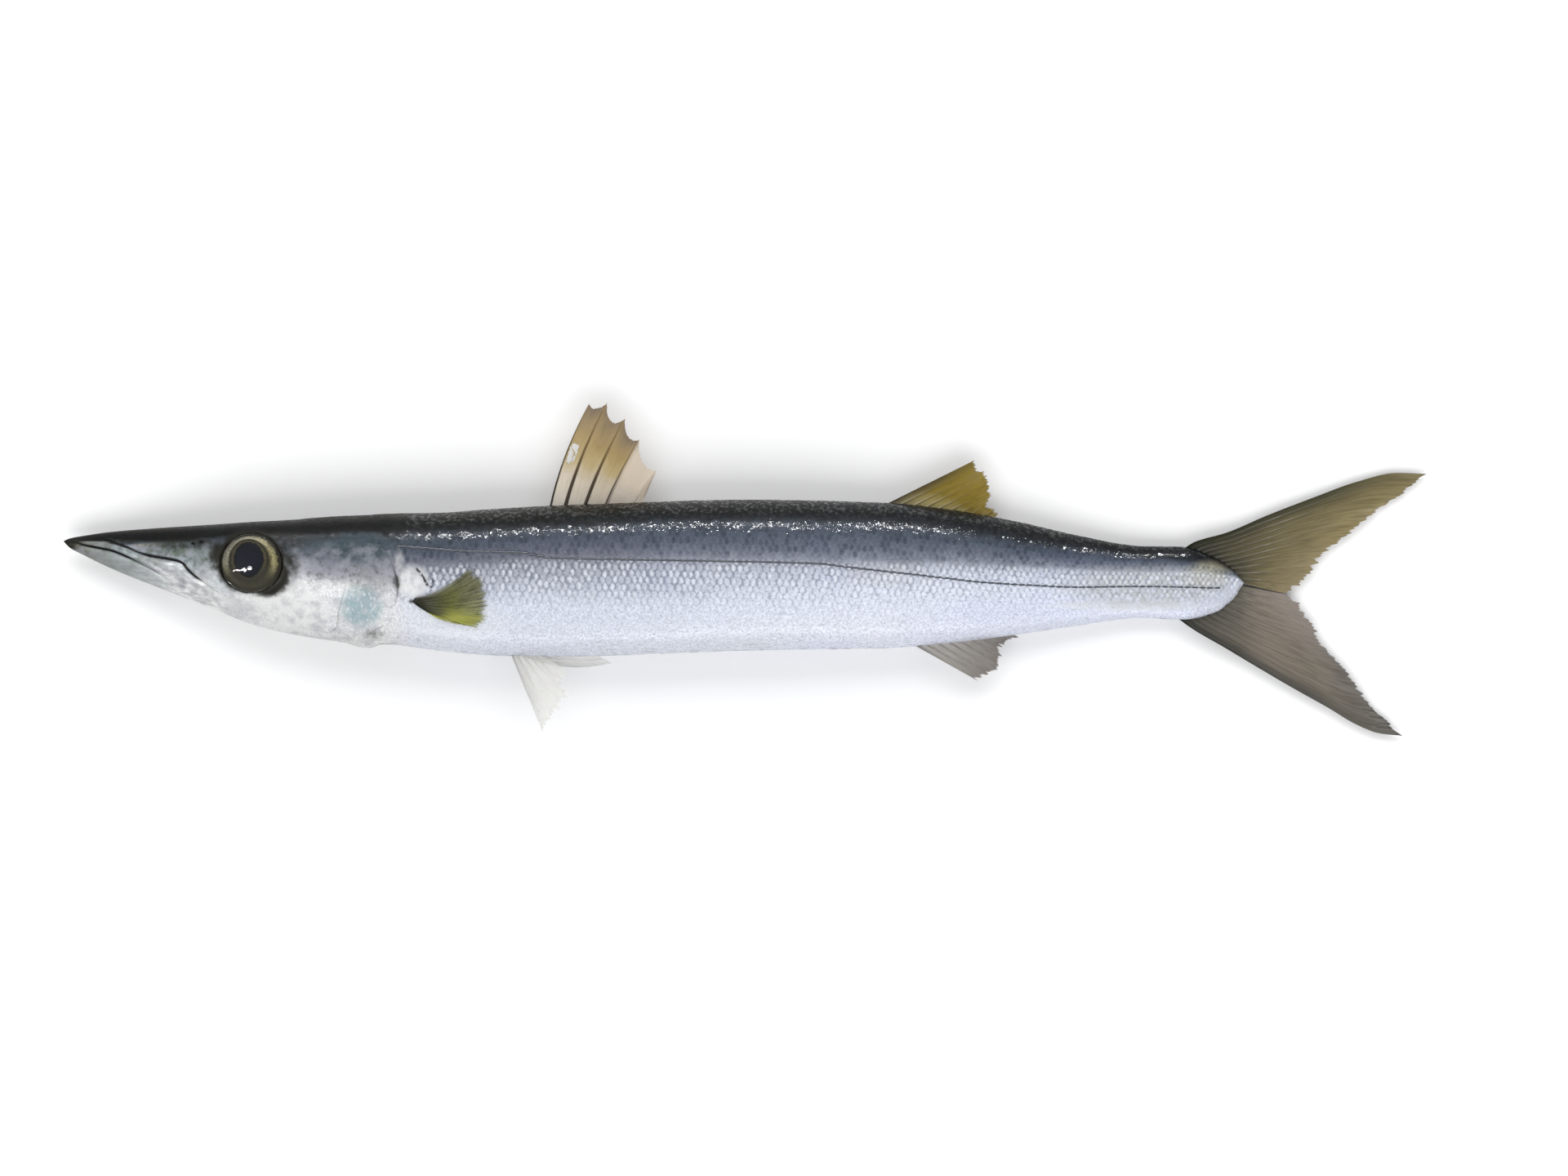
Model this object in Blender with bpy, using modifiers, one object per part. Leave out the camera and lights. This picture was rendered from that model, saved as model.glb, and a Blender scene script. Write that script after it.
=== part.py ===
"""Life-size barracuda lying on its right side, left flank up.

The body is a loft of rounded sections along the fish. It is parted into head, trunk and tail by thin
planes, and the jaws, gill covers, eyes and fins are set on it with a thin gap. All sizes are in
millimetres: x runs from the tip of the lower jaw to the tail, y towards the back, z up from the floor.
"""
import math
import random
from collections import namedtuple

import bmesh
import bpy
from mathutils import Matrix, Vector

MM = 0.001
OBJECT_NAME = "barracuda"

# Gap between neighbours, points round a section and steps between sections
GAP = 0.3
ROUND = 32
HEAD_STEP = 2.5
TRUNK_STEP = 7.0
PARTING_MARGIN = 0.6

# How deep and how far forward a fin's root is sunk, how far cutters reach, how far apart the points are
# that a flank's slope is read from, and the distance below which points are joined, in metres
ROOT_DEPTH = 2.2
ROOT_REACH = 6.0
FAR = 60.0
FLANK_SPREAD = 5.0
WELD = 1e-6

# Sections along the body: outline above and below, level and half of the greatest width, clearance of
# the lower flank over the floor (less than nothing where the flank is pressed flat), and how square
# the upper and the lower half are.
Station = namedtuple("Station", "x top middle bottom half clearance crown keel")
STATIONS = (
    Station(0.0, 10.3, 10.0, 9.6, 0.5, 6.2, 2.0, 2.0),
    Station(1.5, 10.9, 9.7, 8.1, 1.2, 5.8, 2.1, 2.0),
    Station(5.1, 11.6, 9.0, 6.2, 2.0, 5.0, 2.3, 2.0),
    Station(13.9, 12.8, 7.7, 2.0, 3.5, 4.0, 2.7, 1.9),
    Station(27.1, 13.8, 5.5, -3.2, 6.1, 3.2, 3.0, 1.8),
    Station(40.3, 14.6, 3.5, -8.2, 8.8, 2.6, 3.1, 1.8),
    Station(51.0, 15.3, 2.6, -12.5, 10.8, 2.3, 3.0, 1.8),
    Station(62.3, 15.9, 1.6, -15.3, 11.8, 2.1, 2.8, 1.9),
    Station(75.5, 16.8, 0.6, -17.4, 12.7, 2.0, 2.6, 2.0),
    Station(82.9, 17.1, 0.2, -19.0, 13.1, 1.95, 2.5, 2.1),
    Station(87.0, 17.4, 0.0, -17.9, 13.3, 1.9, 2.5, 2.2),
    Station(102.3, 17.7, -0.4, -19.6, 13.9, 1.6, 2.4, 2.3),
    Station(115.0, 18.6, -0.7, -20.8, 14.2, 1.2, 2.4, 2.3),
    Station(130.0, 19.5, -0.6, -21.2, 14.4, 0.1, 2.4, 2.3),
    Station(140.0, 19.9, -0.4, -21.1, 14.5, -0.4, 2.4, 2.3),
    Station(185.9, 21.2, 0.7, -19.5, 14.7, -0.4, 2.4, 2.3),
    Station(222.0, 20.4, 0.7, -18.9, 13.0, -0.4, 2.3, 2.3),
    Station(238.7, 18.7, 0.4, -17.6, 11.5, -0.4, 2.3, 2.2),
    Station(258.5, 15.2, 0.0, -15.2, 8.8, -0.4, 2.2, 2.2),
    Station(273.9, 11.7, -0.7, -12.9, 6.9, -0.2, 2.2, 2.2),
    Station(291.5, 8.8, -1.1, -10.8, 5.2, 0.3, 2.2, 2.2),
    Station(302.5, 8.6, -1.3, -11.3, 4.3, 0.8, 2.2, 2.2),
    Station(311.3, 5.7, -1.3, -9.4, 2.9, 1.4, 2.2, 2.2),
    Station(316.1, 2.6, -1.3, -6.0, 2.0, 1.6, 2.0, 2.0),
    Station(319.2, -0.9, -1.3, -1.8, 1.3, 1.8, 2.0, 2.0),
)
BODY_END = STATIONS[-1].x
TAIL_LEVEL = ((319.2, 3.1), (332.0, 2.9), (350.0, 2.3), (372.0, 1.4))

# Where the body is parted
NECK = 80.0
GILL_END = 90.0
TRUNK_PARTING = 187.0
STALK_PARTING = 285.0

# Head
MOUTH_LINE = ((2.1, 15.0), (2.3, 10.6), (4.0, 9.5), (6.6, 8.7), (11.7, 7.6), (17.8, 5.5), (24.3, 2.4),
              (30.1, -1.3), (35.9, -5.7), (38.5, -6.4), (40.5, -5.9), (43.3, -7.7), (45.3, -11.4))
UPPER_JAW = ((8.1, 9.9), (12.2, 10.2), (14.3, 9.4), (17.8, 7.9), (21.3, 6.6), (23.8, 5.9), (29.0, 5.1),
             (32.6, 4.1), (34.3, 2.6), (36.1, 0.7), (37.8, -0.9), (40.5, -2.9), (40.7, -4.4),
             (39.8, -5.5), (38.1, -5.9), (35.9, -5.3), (30.1, -0.9), (24.3, 2.8), (17.8, 5.9),
             (11.7, 8.0), (8.1, 9.0))
GILL_COVER = ((78.5, 8.1), (82.5, 9.5), (86.6, 9.2), (88.2, 7.0), (89.6, 4.2), (90.7, 1.3), (91.4, -1.8),
              (91.2, -4.8), (90.4, -7.5), (89.3, -9.5), (87.1, -12.5), (84.7, -14.4), (81.8, -15.6),
              (78.1, -15.2), (74.9, -13.4), (75.2, -10.3), (76.3, -7.0), (77.4, -2.6), (77.7, 1.8))
PlateSize = namedtuple("PlateSize", "proud depth")
JAW_PLATE = PlateSize(proud=0.35, depth=1.0)
GILL_PLATE = PlateSize(proud=0.5, depth=1.1)

# Start of the plates beside the middle plane, how far a sharp corner of theirs may move when the outline
# grows, and how far the cut under the lower jaw slopes rearwards
PLATE_INSET = 0.9
MITRE_LIMIT = 0.5
CHIN_RUN = 3.0

# Eye: its front is a low dome, and its back and its socket are turned from a share of the radius, a
# distance added to it and a depth
EYE_X, EYE_Y = 51.7, 4.0
EYE_RADIUS = 7.9
EYE_STRETCH = (1.0, 0.95, 1.0)
EYE_BULGE = 1.0
EYE_DOME = 2.0
EYE_DEPTH = 5.2
EYE_STEPS = 22
FRONT_STEPS = 4
EYE_BACK = ((1.0, 0.1, -1.9), (1.0, -0.9, -3.4), (0.6, 0.0, -4.7), (0.0, 0.0, -EYE_DEPTH))
SOCKET_RADIUS = EYE_RADIUS + 0.1 + GAP
SOCKET_MOUTH = 5.0
SOCKET_BACK = ((1.0, 0.0, -1.9), (1.0, -0.9, -3.6), (0.6, 0.0, -5.0), (0.0, 0.0, -EYE_DEPTH - GAP))
ORBIT_RADIUS = EYE_RADIUS + GAP + 0.5
ORBIT_RIM = 0.85
ORBIT_SUNK = 0.6
ORBIT_STEPS = (28, 8)
NOSTRILS = ((37.8, 9.9, 0.7), (35.6, 9.4, 0.45))
NOSTRIL_STRETCH = (1.4, 0.9, 1.0)
NOSTRIL_STEPS = (8, 5)

# How a fin is made: its rays, the rows of points along them, the columns between two rays, how far the
# margin is drawn in there (a share of the ray, but millimetres on the tail), how far the rays stand up
# at their root, and how far the tips hang down or stand away
FinForm = namedtuple("FinForm", "rays rows between notch ridge lean")
MEMBRANE = 0.27
SPINE_HALF = 0.8
RAY_TAPER = 0.85
SPINY = FinForm(6, (0.0, 0.2, 0.45, 0.7, 0.88, 1.0), (0.22, 0.5, 0.78), 0.07, SPINE_HALF - MEMBRANE, 1.5)
SOFT = FinForm(10, (0.0, 0.3, 0.55, 0.8, 1.0), (0.5,), 0.04, 0.33, 0.8)
SPREAD = FinForm(6, (0.0, 0.3, 0.65, 1.0), (0.5,), 0.05, 0.33, 0.8)
FOLDED = SPREAD._replace(notch=0.0)
BREAST = FinForm(12, (0.0, 0.2, 0.4, 0.7, 1.0), (0.5,), 0.04, 0.15, 0.75)
LOBE = FinForm(10, (0.0, 0.12, 0.25, 0.4, 0.55, 0.7, 0.82, 0.92, 1.0), (0.5,), 0.6, 0.55, 0.0)

# Fins: where the outer rays end and where the rays root
FinRay = namedtuple("FinRay", "root_x tip_x tip_y")
FIRST_DORSAL = (FinRay(132.0, 142.2, 47.2), FinRay(136.2, 147.1, 47.5), FinRay(141.5, 152.0, 43.3),
                FinRay(147.2, 155.8, 37.5), FinRay(154.2, 160.4, 29.0), FinRay(156.6, 157.4, 22.4))
SPINE_BOW = 1.3
SECOND_DORSAL_ROOTS = (221.4, 252.0)
SECOND_DORSAL_MARGIN = ((246.2, 31.9), (247.6, 29.8), (249.4, 28.9), (250.4, 26.5), (251.1, 22.4),
                        (250.0, 20.0), (253.4, 18.2))
ANAL_ROOTS = (228.9, 256.0)
ANAL_MARGIN = ((247.0, -27.7), (250.1, -26.5), (253.2, -24.8), (253.9, -21.7), (253.9, -18.8),
               (258.8, -16.3))
PELVIC_ROOTS = (120.9, 127.6)
PELVIC_SPREAD = ((129.9, -41.6), (132.6, -38.6), (134.9, -35.2), (137.2, -32.8), (135.1, -28.5),
                 (137.4, -25.3))
PELVIC_FOLDED = ((148.2, -22.9), (147.0, -22.0), (144.5, -20.7), (141.0, -19.0))
PELVIC_FOLDED_BOW = 2.6
PELVIC_OFF_CENTRE = 2.6
PECTORAL_ROOTS = ((97.0, -3.6), (95.6, -6.2), (98.0, -8.6))
PECTORAL_MARGIN = ((110.6, 3.2), (112.9, 2.7), (115.4, 0.4), (116.6, -3.4), (116.8, -7.9),
                   (116.1, -11.6), (113.0, -13.4), (105.6, -12.9))
PECTORAL_SUNK = 1.9
PECTORAL_FREE = 0.4
TAIL_TOP_EDGE = ((301.0, 6.6), (306.0, 9.9), (314.4, 12.3), (326.0, 17.2), (339.5, 22.4), (350.0, 26.2),
                 (360.8, 28.6), (368.9, 28.3))
TAIL_LOW_EDGE = ((298.5, -8.6), (304.7, -13.4), (314.4, -19.1), (323.4, -24.5), (332.0, -29.6),
                 (342.1, -35.3), (350.0, -40.0), (356.0, -42.3), (362.3, -43.0))
TAIL_TOP_MARGIN = ((368.9, 28.3), (364.0, 23.6), (357.1, 19.1), (347.6, 11.2), (341.7, 6.8), (338.8, 2.2),
                   (336.0, -1.2), (332.2, -4.3))
TAIL_LOW_MARGIN = ((362.3, -42.7), (359.3, -39.4), (354.9, -35.2), (347.6, -25.1), (342.5, -19.4),
                   (337.9, -11.2), (335.3, -6.9), (332.2, -4.9))
TAIL_TOP_ROOTS = ((301.0, 6.6), (307.0, 4.8), (313.0, 1.6), (316.4, -1.0))
TAIL_LOW_ROOTS = ((298.5, -8.6), (307.0, -7.9), (313.0, -4.4), (316.4, -1.6))
FORK_BEND = 6
FRAY = 0.9
SEED = 7

# Colours: red, green, blue, roughness, metallic
Finish = namedtuple("Finish", "red green blue roughness metallic")
BACK_SKIN = Finish(0.16, 0.17, 0.17, 0.38, 0.1)
SILVER_SKIN = Finish(0.62, 0.62, 0.66, 0.30, 0.3)
CHEEK_SKIN = Finish(0.72, 0.73, 0.72, 0.28, 0.3)
JAW_SKIN = Finish(0.66, 0.68, 0.60, 0.35, 0.1)
EYE_WALL = Finish(0.05, 0.035, 0.02, 0.08, 0.0)
DORSAL_FIN = Finish(0.33, 0.27, 0.17, 0.5, 0.0)
YELLOW_FIN = Finish(0.55, 0.47, 0.20, 0.5, 0.0)
PALE_FIN = Finish(0.74, 0.71, 0.66, 0.5, 0.0)


def signed_power(value, power):
    """Raise the size of a value to a power and keep its sign."""
    return math.copysign(abs(value) ** power, value)


def knot_slopes(xs, ys):
    """Slopes at the knots that let a curve pass through them without overshooting."""
    runs = [b - a for a, b in zip(xs, xs[1:])]
    rises = [(b - a) / run for a, b, run in zip(ys, ys[1:], runs)]
    slopes = [rises[0]]
    for before, after in zip(rises, rises[1:]):
        product = before * after
        slopes.append(2.0 * product / (before + after) if product > 0.0 else 0.0)
    slopes.append(rises[-1])
    return slopes


def curve_through(points):
    """Return a smooth function y(x) through the points, level beyond both ends."""
    xs = [point[0] for point in points]
    ys = [point[1] for point in points]
    slopes = knot_slopes(xs, ys)

    def curve(x):
        if x <= xs[0]:
            return ys[0]
        for i, (low, high) in enumerate(zip(xs, xs[1:])):
            if x <= high:
                run = high - low
                t = (x - low) / run
                blend = t * t * (3.0 - 2.0 * t)
                start = slopes[i] * run * t * (1.0 - t) ** 2
                end = slopes[i + 1] * run * t * t * (1.0 - t)
                return ys[i] + (ys[i + 1] - ys[i]) * blend + start - end
        return ys[-1]

    return curve


PROFILE = {field: curve_through([(s.x, getattr(s, field)) for s in STATIONS])
           for field in Station._fields[1:]}
TAIL_DROOP = curve_through(TAIL_LEVEL)


def station_at(x):
    """Body section at a place along the fish."""
    return Station(x, *(PROFILE[field](x) for field in Station._fields[1:]))


def middle_level(x):
    """Height of the middle plane of the fish over the floor."""
    if x > BODY_END:
        return TAIL_DROOP(x)
    return PROFILE["half"](x) + PROFILE["clearance"](x)


def ring(x, grow, pressed):
    """Points round one section, larger by grow, flattened on the floor where it is pressed."""
    here = station_at(x)
    level = middle_level(min(x, BODY_END))
    points = []
    for i in range(ROUND):
        turn = 2.0 * math.pi * i / ROUND
        side, rise = math.cos(turn), math.sin(turn)
        power = 2.0 / (here.crown if rise >= 0.0 else here.keel)
        reach = grow + (here.top - here.middle if rise >= 0.0 else here.middle - here.bottom)
        y = here.middle + reach * signed_power(rise, power)
        z = level + (here.half + grow) * signed_power(side, power)
        points.append((x, y, max(z, 0.0) if pressed else z))
    return points


def flank_rise(x, y):
    """Distance of the flank from the middle plane at a place seen from the side."""
    here = station_at(x)
    above = y >= here.middle
    reach = here.top - here.middle if above else here.middle - here.bottom
    power = here.crown if above else here.keel
    part = min(abs(y - here.middle) / reach, 1.0)
    return here.half * (1.0 - part ** power) ** (1.0 / power)


def flank_point(x, y, side):
    """Point on the left flank (side 1) or the right flank (side -1)."""
    return Vector((x, y, middle_level(x) + side * flank_rise(x, y)))


def flank_frame(x, y, side):
    """Place on a flank with its z axis along the outward normal."""
    along = flank_point(x + FLANK_SPREAD, y, side) - flank_point(x - FLANK_SPREAD, y, side)
    across = flank_point(x, y + FLANK_SPREAD, side) - flank_point(x, y - FLANK_SPREAD, side)
    normal = along.cross(across).normalized() * side
    along_axis = (along - normal * along.dot(normal)).normalized()
    axes = Matrix((along_axis, normal.cross(along_axis), normal)).transposed().to_4x4()
    return Matrix.Translation(flank_point(x, y, side)) @ axes


def start_collections():
    """Empty the scene and make one collection for the parts and one for the cutters."""
    for thing in list(bpy.data.objects):
        bpy.data.objects.remove(thing)
    made = []
    for name in (OBJECT_NAME, "cutters"):
        collection = bpy.data.collections.new(name)
        bpy.context.scene.collection.children.link(collection)
        made.append(collection)
    return made


def add_object(name, mesh, collection):
    """Link a mesh into a collection as a new object."""
    thing = bpy.data.objects.new(name, mesh)
    collection.objects.link(thing)
    if collection is CUTTERS:
        thing.hide_render = True
        thing.display_type = "WIRE"
    return thing


def add_mesh(name, points, faces, collection):
    """Make an object from points in millimetres, with its faces turned outwards."""
    mesh = bpy.data.meshes.new(name)
    mesh.from_pydata([Vector(point) * MM for point in points], [], faces)
    turn_outwards(mesh)
    return add_object(name, mesh, collection)


def turn_outwards(mesh):
    """Make the faces of a closed mesh point outwards."""
    shell = bmesh.new()
    shell.from_mesh(mesh)
    bmesh.ops.recalc_face_normals(shell, faces=shell.faces)
    if shell.calc_volume(signed=True) < 0.0:
        bmesh.ops.reverse_faces(shell, faces=shell.faces)
    shell.to_mesh(mesh)
    shell.free()


def applied_mesh(thing):
    """The object's evaluated mesh in the object's own space."""
    graph = bpy.context.evaluated_depsgraph_get()
    return bpy.data.meshes.new_from_object(thing.evaluated_get(graph))


def apply_all(thing):
    """Replace the object's mesh by its evaluated mesh and drop the modifiers."""
    mesh = applied_mesh(thing)
    thing.modifiers.clear()
    thing.data = mesh


def combine(thing, other, operation, solver="EXACT"):
    """Cut, intersect or join with another object, or with all the objects of a collection."""
    change = thing.modifiers.new(operation.lower(), "BOOLEAN")
    change.operation = operation
    change.solver = solver
    if isinstance(other, bpy.types.Collection):
        change.operand_type = "COLLECTION"
        change.collection = other
    else:
        change.object = other
    apply_all(thing)


def keep_largest(thing):
    """Keep only the largest closed surface of an object."""
    shell = bmesh.new()
    shell.from_mesh(thing.data)
    islands = surface_islands(shell)
    largest = max(islands, key=enclosed_volume)
    dropped = [face for island in islands if island is not largest for face in island]
    bmesh.ops.delete(shell, geom=dropped, context="FACES")
    shell.to_mesh(thing.data)
    shell.free()


def surface_islands(shell):
    """Groups of faces that hang together."""
    waiting = set(shell.faces)
    islands = []
    while waiting:
        front = [waiting.pop()]
        island = []
        while front:
            face = front.pop()
            island.append(face)
            for edge in face.edges:
                for near in edge.link_faces:
                    if near in waiting:
                        waiting.remove(near)
                        front.append(near)
        islands.append(island)
    return islands


def enclosed_volume(island):
    """Volume inside a closed group of faces."""
    total = 0.0
    for face in island:
        corners = [loop.vert.co for loop in face.loops]
        for b, c in zip(corners[1:], corners[2:]):
            total += corners[0].dot(b.cross(c)) / 6.0
    return total


def body_places(start, end):
    """Places of the sections between two partings, closer together on the head and the tail root."""
    regular = [i * HEAD_STEP for i in range(int(NECK / HEAD_STEP) + 1)]
    regular += [NECK + i * TRUNK_STEP for i in range(1, int((BODY_END - NECK) / TRUNK_STEP) + 1)]
    regular += [s.x for s in STATIONS if s.x < HEAD_STEP or NECK < s.x < GILL_END or s.x > STALK_PARTING]
    inside = [x for x in sorted(set(regular)) if start + PARTING_MARGIN < x < end - PARTING_MARGIN]
    return [start] + inside + [end]


def loft(name, places, collection, grow=0.0, pressed=True):
    """Closed body through the sections at the given places."""
    points = []
    for x in places:
        points += ring(x, grow, pressed)
    faces = []
    for i in range(len(places) - 1):
        for j in range(ROUND):
            k = (j + 1) % ROUND
            faces.append((i * ROUND + j, i * ROUND + k, (i + 1) * ROUND + k, (i + 1) * ROUND + j))
    faces.append(tuple(range(ROUND)))
    faces.append(tuple(range(len(points) - ROUND, len(points))))
    return add_mesh(name, points, faces, collection)


def body_cutter(name, grow):
    """The whole body, larger or smaller by grow, to cut other pieces with."""
    places = body_places(-grow, BODY_END + grow)
    return loft(name, places, CUTTERS, grow=grow, pressed=False)


def swollen(outline, grow):
    """Outline with each side moved outwards by grow, and the corners where the moved sides meet."""
    corners = [Vector(corner) for corner in outline]
    area = sum(a.x * b.y - b.x * a.y for a, b in zip(corners, corners[1:] + corners[:1]))
    turn = math.copysign(1.0, area)
    moved = []
    for i, corner in enumerate(corners):
        before = (corner - corners[i - 1]).normalized()
        after = (corners[(i + 1) % len(corners)] - corner).normalized()
        outward = Vector((before.y + after.y, -before.x - after.x)).normalized() * turn
        facing = max(outward.dot(Vector((after.y, -after.x)) * turn), MITRE_LIMIT)
        moved.append(corner + outward * grow / facing)
    return moved


def prism(name, outline, low, high, collection):
    """Flat outline carried from one height to another."""
    curve = bpy.data.curves.new(name, "CURVE")
    curve.dimensions = "2D"
    curve.fill_mode = "BOTH"
    curve.extrude = (high - low) / 2.0 * MM
    spline = curve.splines.new("POLY")
    spline.points.add(len(outline) - 1)
    for point, corner in zip(spline.points, outline):
        point.co = (corner[0] * MM, corner[1] * MM, 0.0, 1.0)
    spline.use_cyclic_u = True
    guide = add_object(name + "_outline", curve, collection)
    mesh = applied_mesh(guide)
    bpy.data.objects.remove(guide)
    mesh.transform(Matrix.Translation((0.0, 0.0, (low + high) / 2.0 * MM)))
    weld(mesh)
    return add_object(name, mesh, collection)


def weld(mesh):
    """Join the loose caps of a converted curve to its wall."""
    shell = bmesh.new()
    shell.from_mesh(mesh)
    bmesh.ops.remove_doubles(shell, verts=shell.verts, dist=WELD)
    bmesh.ops.recalc_face_normals(shell, faces=shell.faces)
    shell.to_mesh(mesh)
    shell.free()


def side_prism(name, outline, side, inset, collection):
    """Outline carried outwards on one side of the fish, from a sloping face off the middle plane."""
    first = min(corner[0] for corner in outline)
    last = max(corner[0] for corner in outline)
    slope = (middle_level(last) - middle_level(first)) / (last - first)
    low, high = sorted((side * inset, side * FAR))
    block = prism(name, outline, low, high, collection)
    for vertex in block.data.vertices:
        vertex.co.z += middle_level(first) * MM + slope * (vertex.co.x - first * MM)
    return block


def plate(name, outline, size, side):
    """Bony plate on one side of the head, standing slightly proud of it."""
    places = body_places(0.0, BODY_END)
    cover = loft(name, places, PARTS, grow=size.proud)
    combine(cover, side_prism(name + "_outline", outline, side, PLATE_INSET, CUTTERS), "INTERSECT")
    combine(cover, body_cutter(name + "_core", -size.depth), "DIFFERENCE")
    keep_largest(cover)
    return cover


def plate_pocket(name, outline, size, side):
    """Room in the body for a plate, with the gap all round."""
    pocket = side_prism(name + "_pocket", swollen(outline, GAP), side, PLATE_INSET - GAP, CUTTERS)
    combine(pocket, body_cutter(name + "_bed", -size.depth - GAP), "DIFFERENCE")
    keep_largest(pocket)
    return pocket


def turned(name, profile, steps, collection):
    """Body of revolution round z from a profile that runs from top to bottom."""
    mesh = bpy.data.meshes.new(name)
    points = [(radius * MM, 0.0, height * MM) for radius, height in profile]
    mesh.from_pydata(points, [(i, i + 1) for i in range(len(points) - 1)], [])
    thing = add_object(name, mesh, collection)
    screw = thing.modifiers.new("turn", "SCREW")
    screw.axis = "Z"
    screw.steps = steps
    screw.render_steps = steps
    screw.use_merge_vertices = True
    screw.merge_threshold = WELD
    apply_all(thing)
    weld(thing.data)
    return thing


def dome_height(radius):
    """Height of the front of the eye over the flank at a distance from its centre."""
    return EYE_BULGE - EYE_DOME * (radius / EYE_RADIUS) ** 2


def turned_back(radius, shape):
    """Half section of the back of the eye or of its socket."""
    return [(radius * share + extra, depth) for share, extra, depth in shape]


def eye_profile():
    """Half section of the eye from its front to its back."""
    radii = [EYE_RADIUS * i / FRONT_STEPS for i in range(FRONT_STEPS + 1)]
    return [(radius, dome_height(radius)) for radius in radii] + turned_back(EYE_RADIUS, EYE_BACK)


def socket_profile():
    """Half section of the room for the eye, open to the outside."""
    mouth = [(0.0, SOCKET_MOUTH), (SOCKET_RADIUS, SOCKET_MOUTH)]
    return mouth + turned_back(SOCKET_RADIUS, SOCKET_BACK)


def set_on_flank(thing, x, y, side, stretch):
    """Move a mesh that was made round z to its place on a flank."""
    place = flank_frame(x, y, side)
    place.translation *= MM
    thing.data.transform(place @ Matrix.Diagonal((*stretch, 1.0)))
    turn_outwards(thing.data)


def orbit_rim(name, side):
    """Raised skin round the eye."""
    bpy.ops.mesh.primitive_torus_add(
        major_radius=ORBIT_RADIUS * MM, minor_radius=ORBIT_RIM * MM,
        major_segments=ORBIT_STEPS[0], minor_segments=ORBIT_STEPS[1], location=(0.0, 0.0, 0.0))
    mesh = bpy.context.object.data
    bpy.data.objects.remove(bpy.context.object)
    mesh.transform(Matrix.Translation((0.0, 0.0, -ORBIT_SUNK * MM)))
    thing = add_object(name, mesh, CUTTERS)
    set_on_flank(thing, EYE_X, EYE_Y, side, EYE_STRETCH)
    return thing


def eye(name, side):
    """Eyeball with a low dome, as far as it shows and a little behind."""
    ball = turned(name, eye_profile(), EYE_STEPS, PARTS)
    set_on_flank(ball, EYE_X, EYE_Y, side, EYE_STRETCH)
    return ball


def eye_socket(name, side):
    """Cutter for the socket of one eye."""
    room = turned(name, socket_profile(), EYE_STEPS, CUTTERS)
    set_on_flank(room, EYE_X, EYE_Y, side, EYE_STRETCH)
    return room


def nostril(name, x, y, radius, side):
    """Cutter for one nostril pit."""
    mesh = bpy.data.meshes.new(name)
    shell = bmesh.new()
    around, down = NOSTRIL_STEPS
    bmesh.ops.create_uvsphere(shell, u_segments=around, v_segments=down, radius=radius * MM)
    shell.to_mesh(mesh)
    shell.free()
    pit = add_object(name, mesh, CUTTERS)
    set_on_flank(pit, x, y, side, NOSTRIL_STRETCH)
    return pit


def jaw_region(name, drop):
    """Everything below and in front of the mouth line, lowered by drop."""
    line = [Vector((x, y - drop)) for x, y in MOUTH_LINE]
    line[0].x -= drop
    line[1].x -= drop
    line[-1].x -= drop
    line[-2].x -= drop
    foot = [(line[-1].x + CHIN_RUN, -FAR), (-FAR, -FAR), (-FAR, line[0].y)]
    return prism(name, line + [Vector(corner) for corner in foot], -FAR, FAR, CUTTERS)


def join_pieces(thing, pieces):
    """Fuse pieces into an object with one union on their collection, then remove them."""
    together = bpy.data.collections.new("pieces")
    for piece in pieces:
        together.objects.link(piece)
    combine(thing, together, "UNION")
    bpy.data.collections.remove(together)
    for piece in pieces:
        bpy.data.objects.remove(piece)
    keep_largest(thing)


def build_head(pockets):
    """Skull with orbit rims, eye sockets, nostrils and the rooms for its plates."""
    head = loft("head", body_places(0.0, NECK), PARTS)
    join_pieces(head, [orbit_rim(f"orbit_{side}", side) for side in (1, -1)])
    cutters = [jaw_region("mouth_cut", 0.0)] + pockets
    for side in (1, -1):
        cutters.append(eye_socket(f"socket_{side}", side))
        for i, (x, y, radius) in enumerate(NOSTRILS):
            cutters.append(nostril(f"nostril_{side}_{i}", x, y, radius, side))
    for cutter in cutters:
        combine(head, cutter, "DIFFERENCE", "MANIFOLD")
    keep_largest(head)
    return head


def build_lower_jaw():
    """Lower jaw, longer than the upper one, with its tip in front."""
    jaw = loft("jaw_lower", body_places(0.0, NECK), PARTS)
    combine(jaw, jaw_region("jaw_outline", GAP), "INTERSECT")
    keep_largest(jaw)
    return jaw


def build_trunk(name, start, end, pockets):
    """One length of the trunk."""
    length = loft(name, body_places(start, end), PARTS)
    for pocket in pockets:
        combine(length, pocket, "DIFFERENCE")
    keep_largest(length)
    return length


def along(points, part):
    """Point at a part of the way along a broken line, evened by its length."""
    corners = [Vector(point) for point in points]
    lengths = [(b - a).length for a, b in zip(corners, corners[1:])]
    wanted = part * sum(lengths)
    for corner, after, length in zip(corners, corners[1:], lengths):
        if wanted <= length:
            return corner.lerp(after, wanted / length)
        wanted -= length
    return corners[-1]


def hump(part):
    """Rise from 0 at both ends to 1 in the middle."""
    return 4.0 * part * (1.0 - part)


def ray_columns(roots, tips, form):
    """Columns of a fin: one on each ray, and some between, where the margin is drawn in."""
    columns = []
    for i, (root, tip) in enumerate(zip(roots, tips)):
        columns.append(([root.lerp(tip, row) for row in form.rows], True))
        if i + 1 == len(roots):
            break
        for part in form.between:
            low = root.lerp(roots[i + 1], part)
            high = tip.lerp(tips[i + 1], part)
            high = high.lerp(low, form.notch * hump(part))
            columns.append(([low.lerp(high, row) for row in form.rows], False))
    return columns


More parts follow.
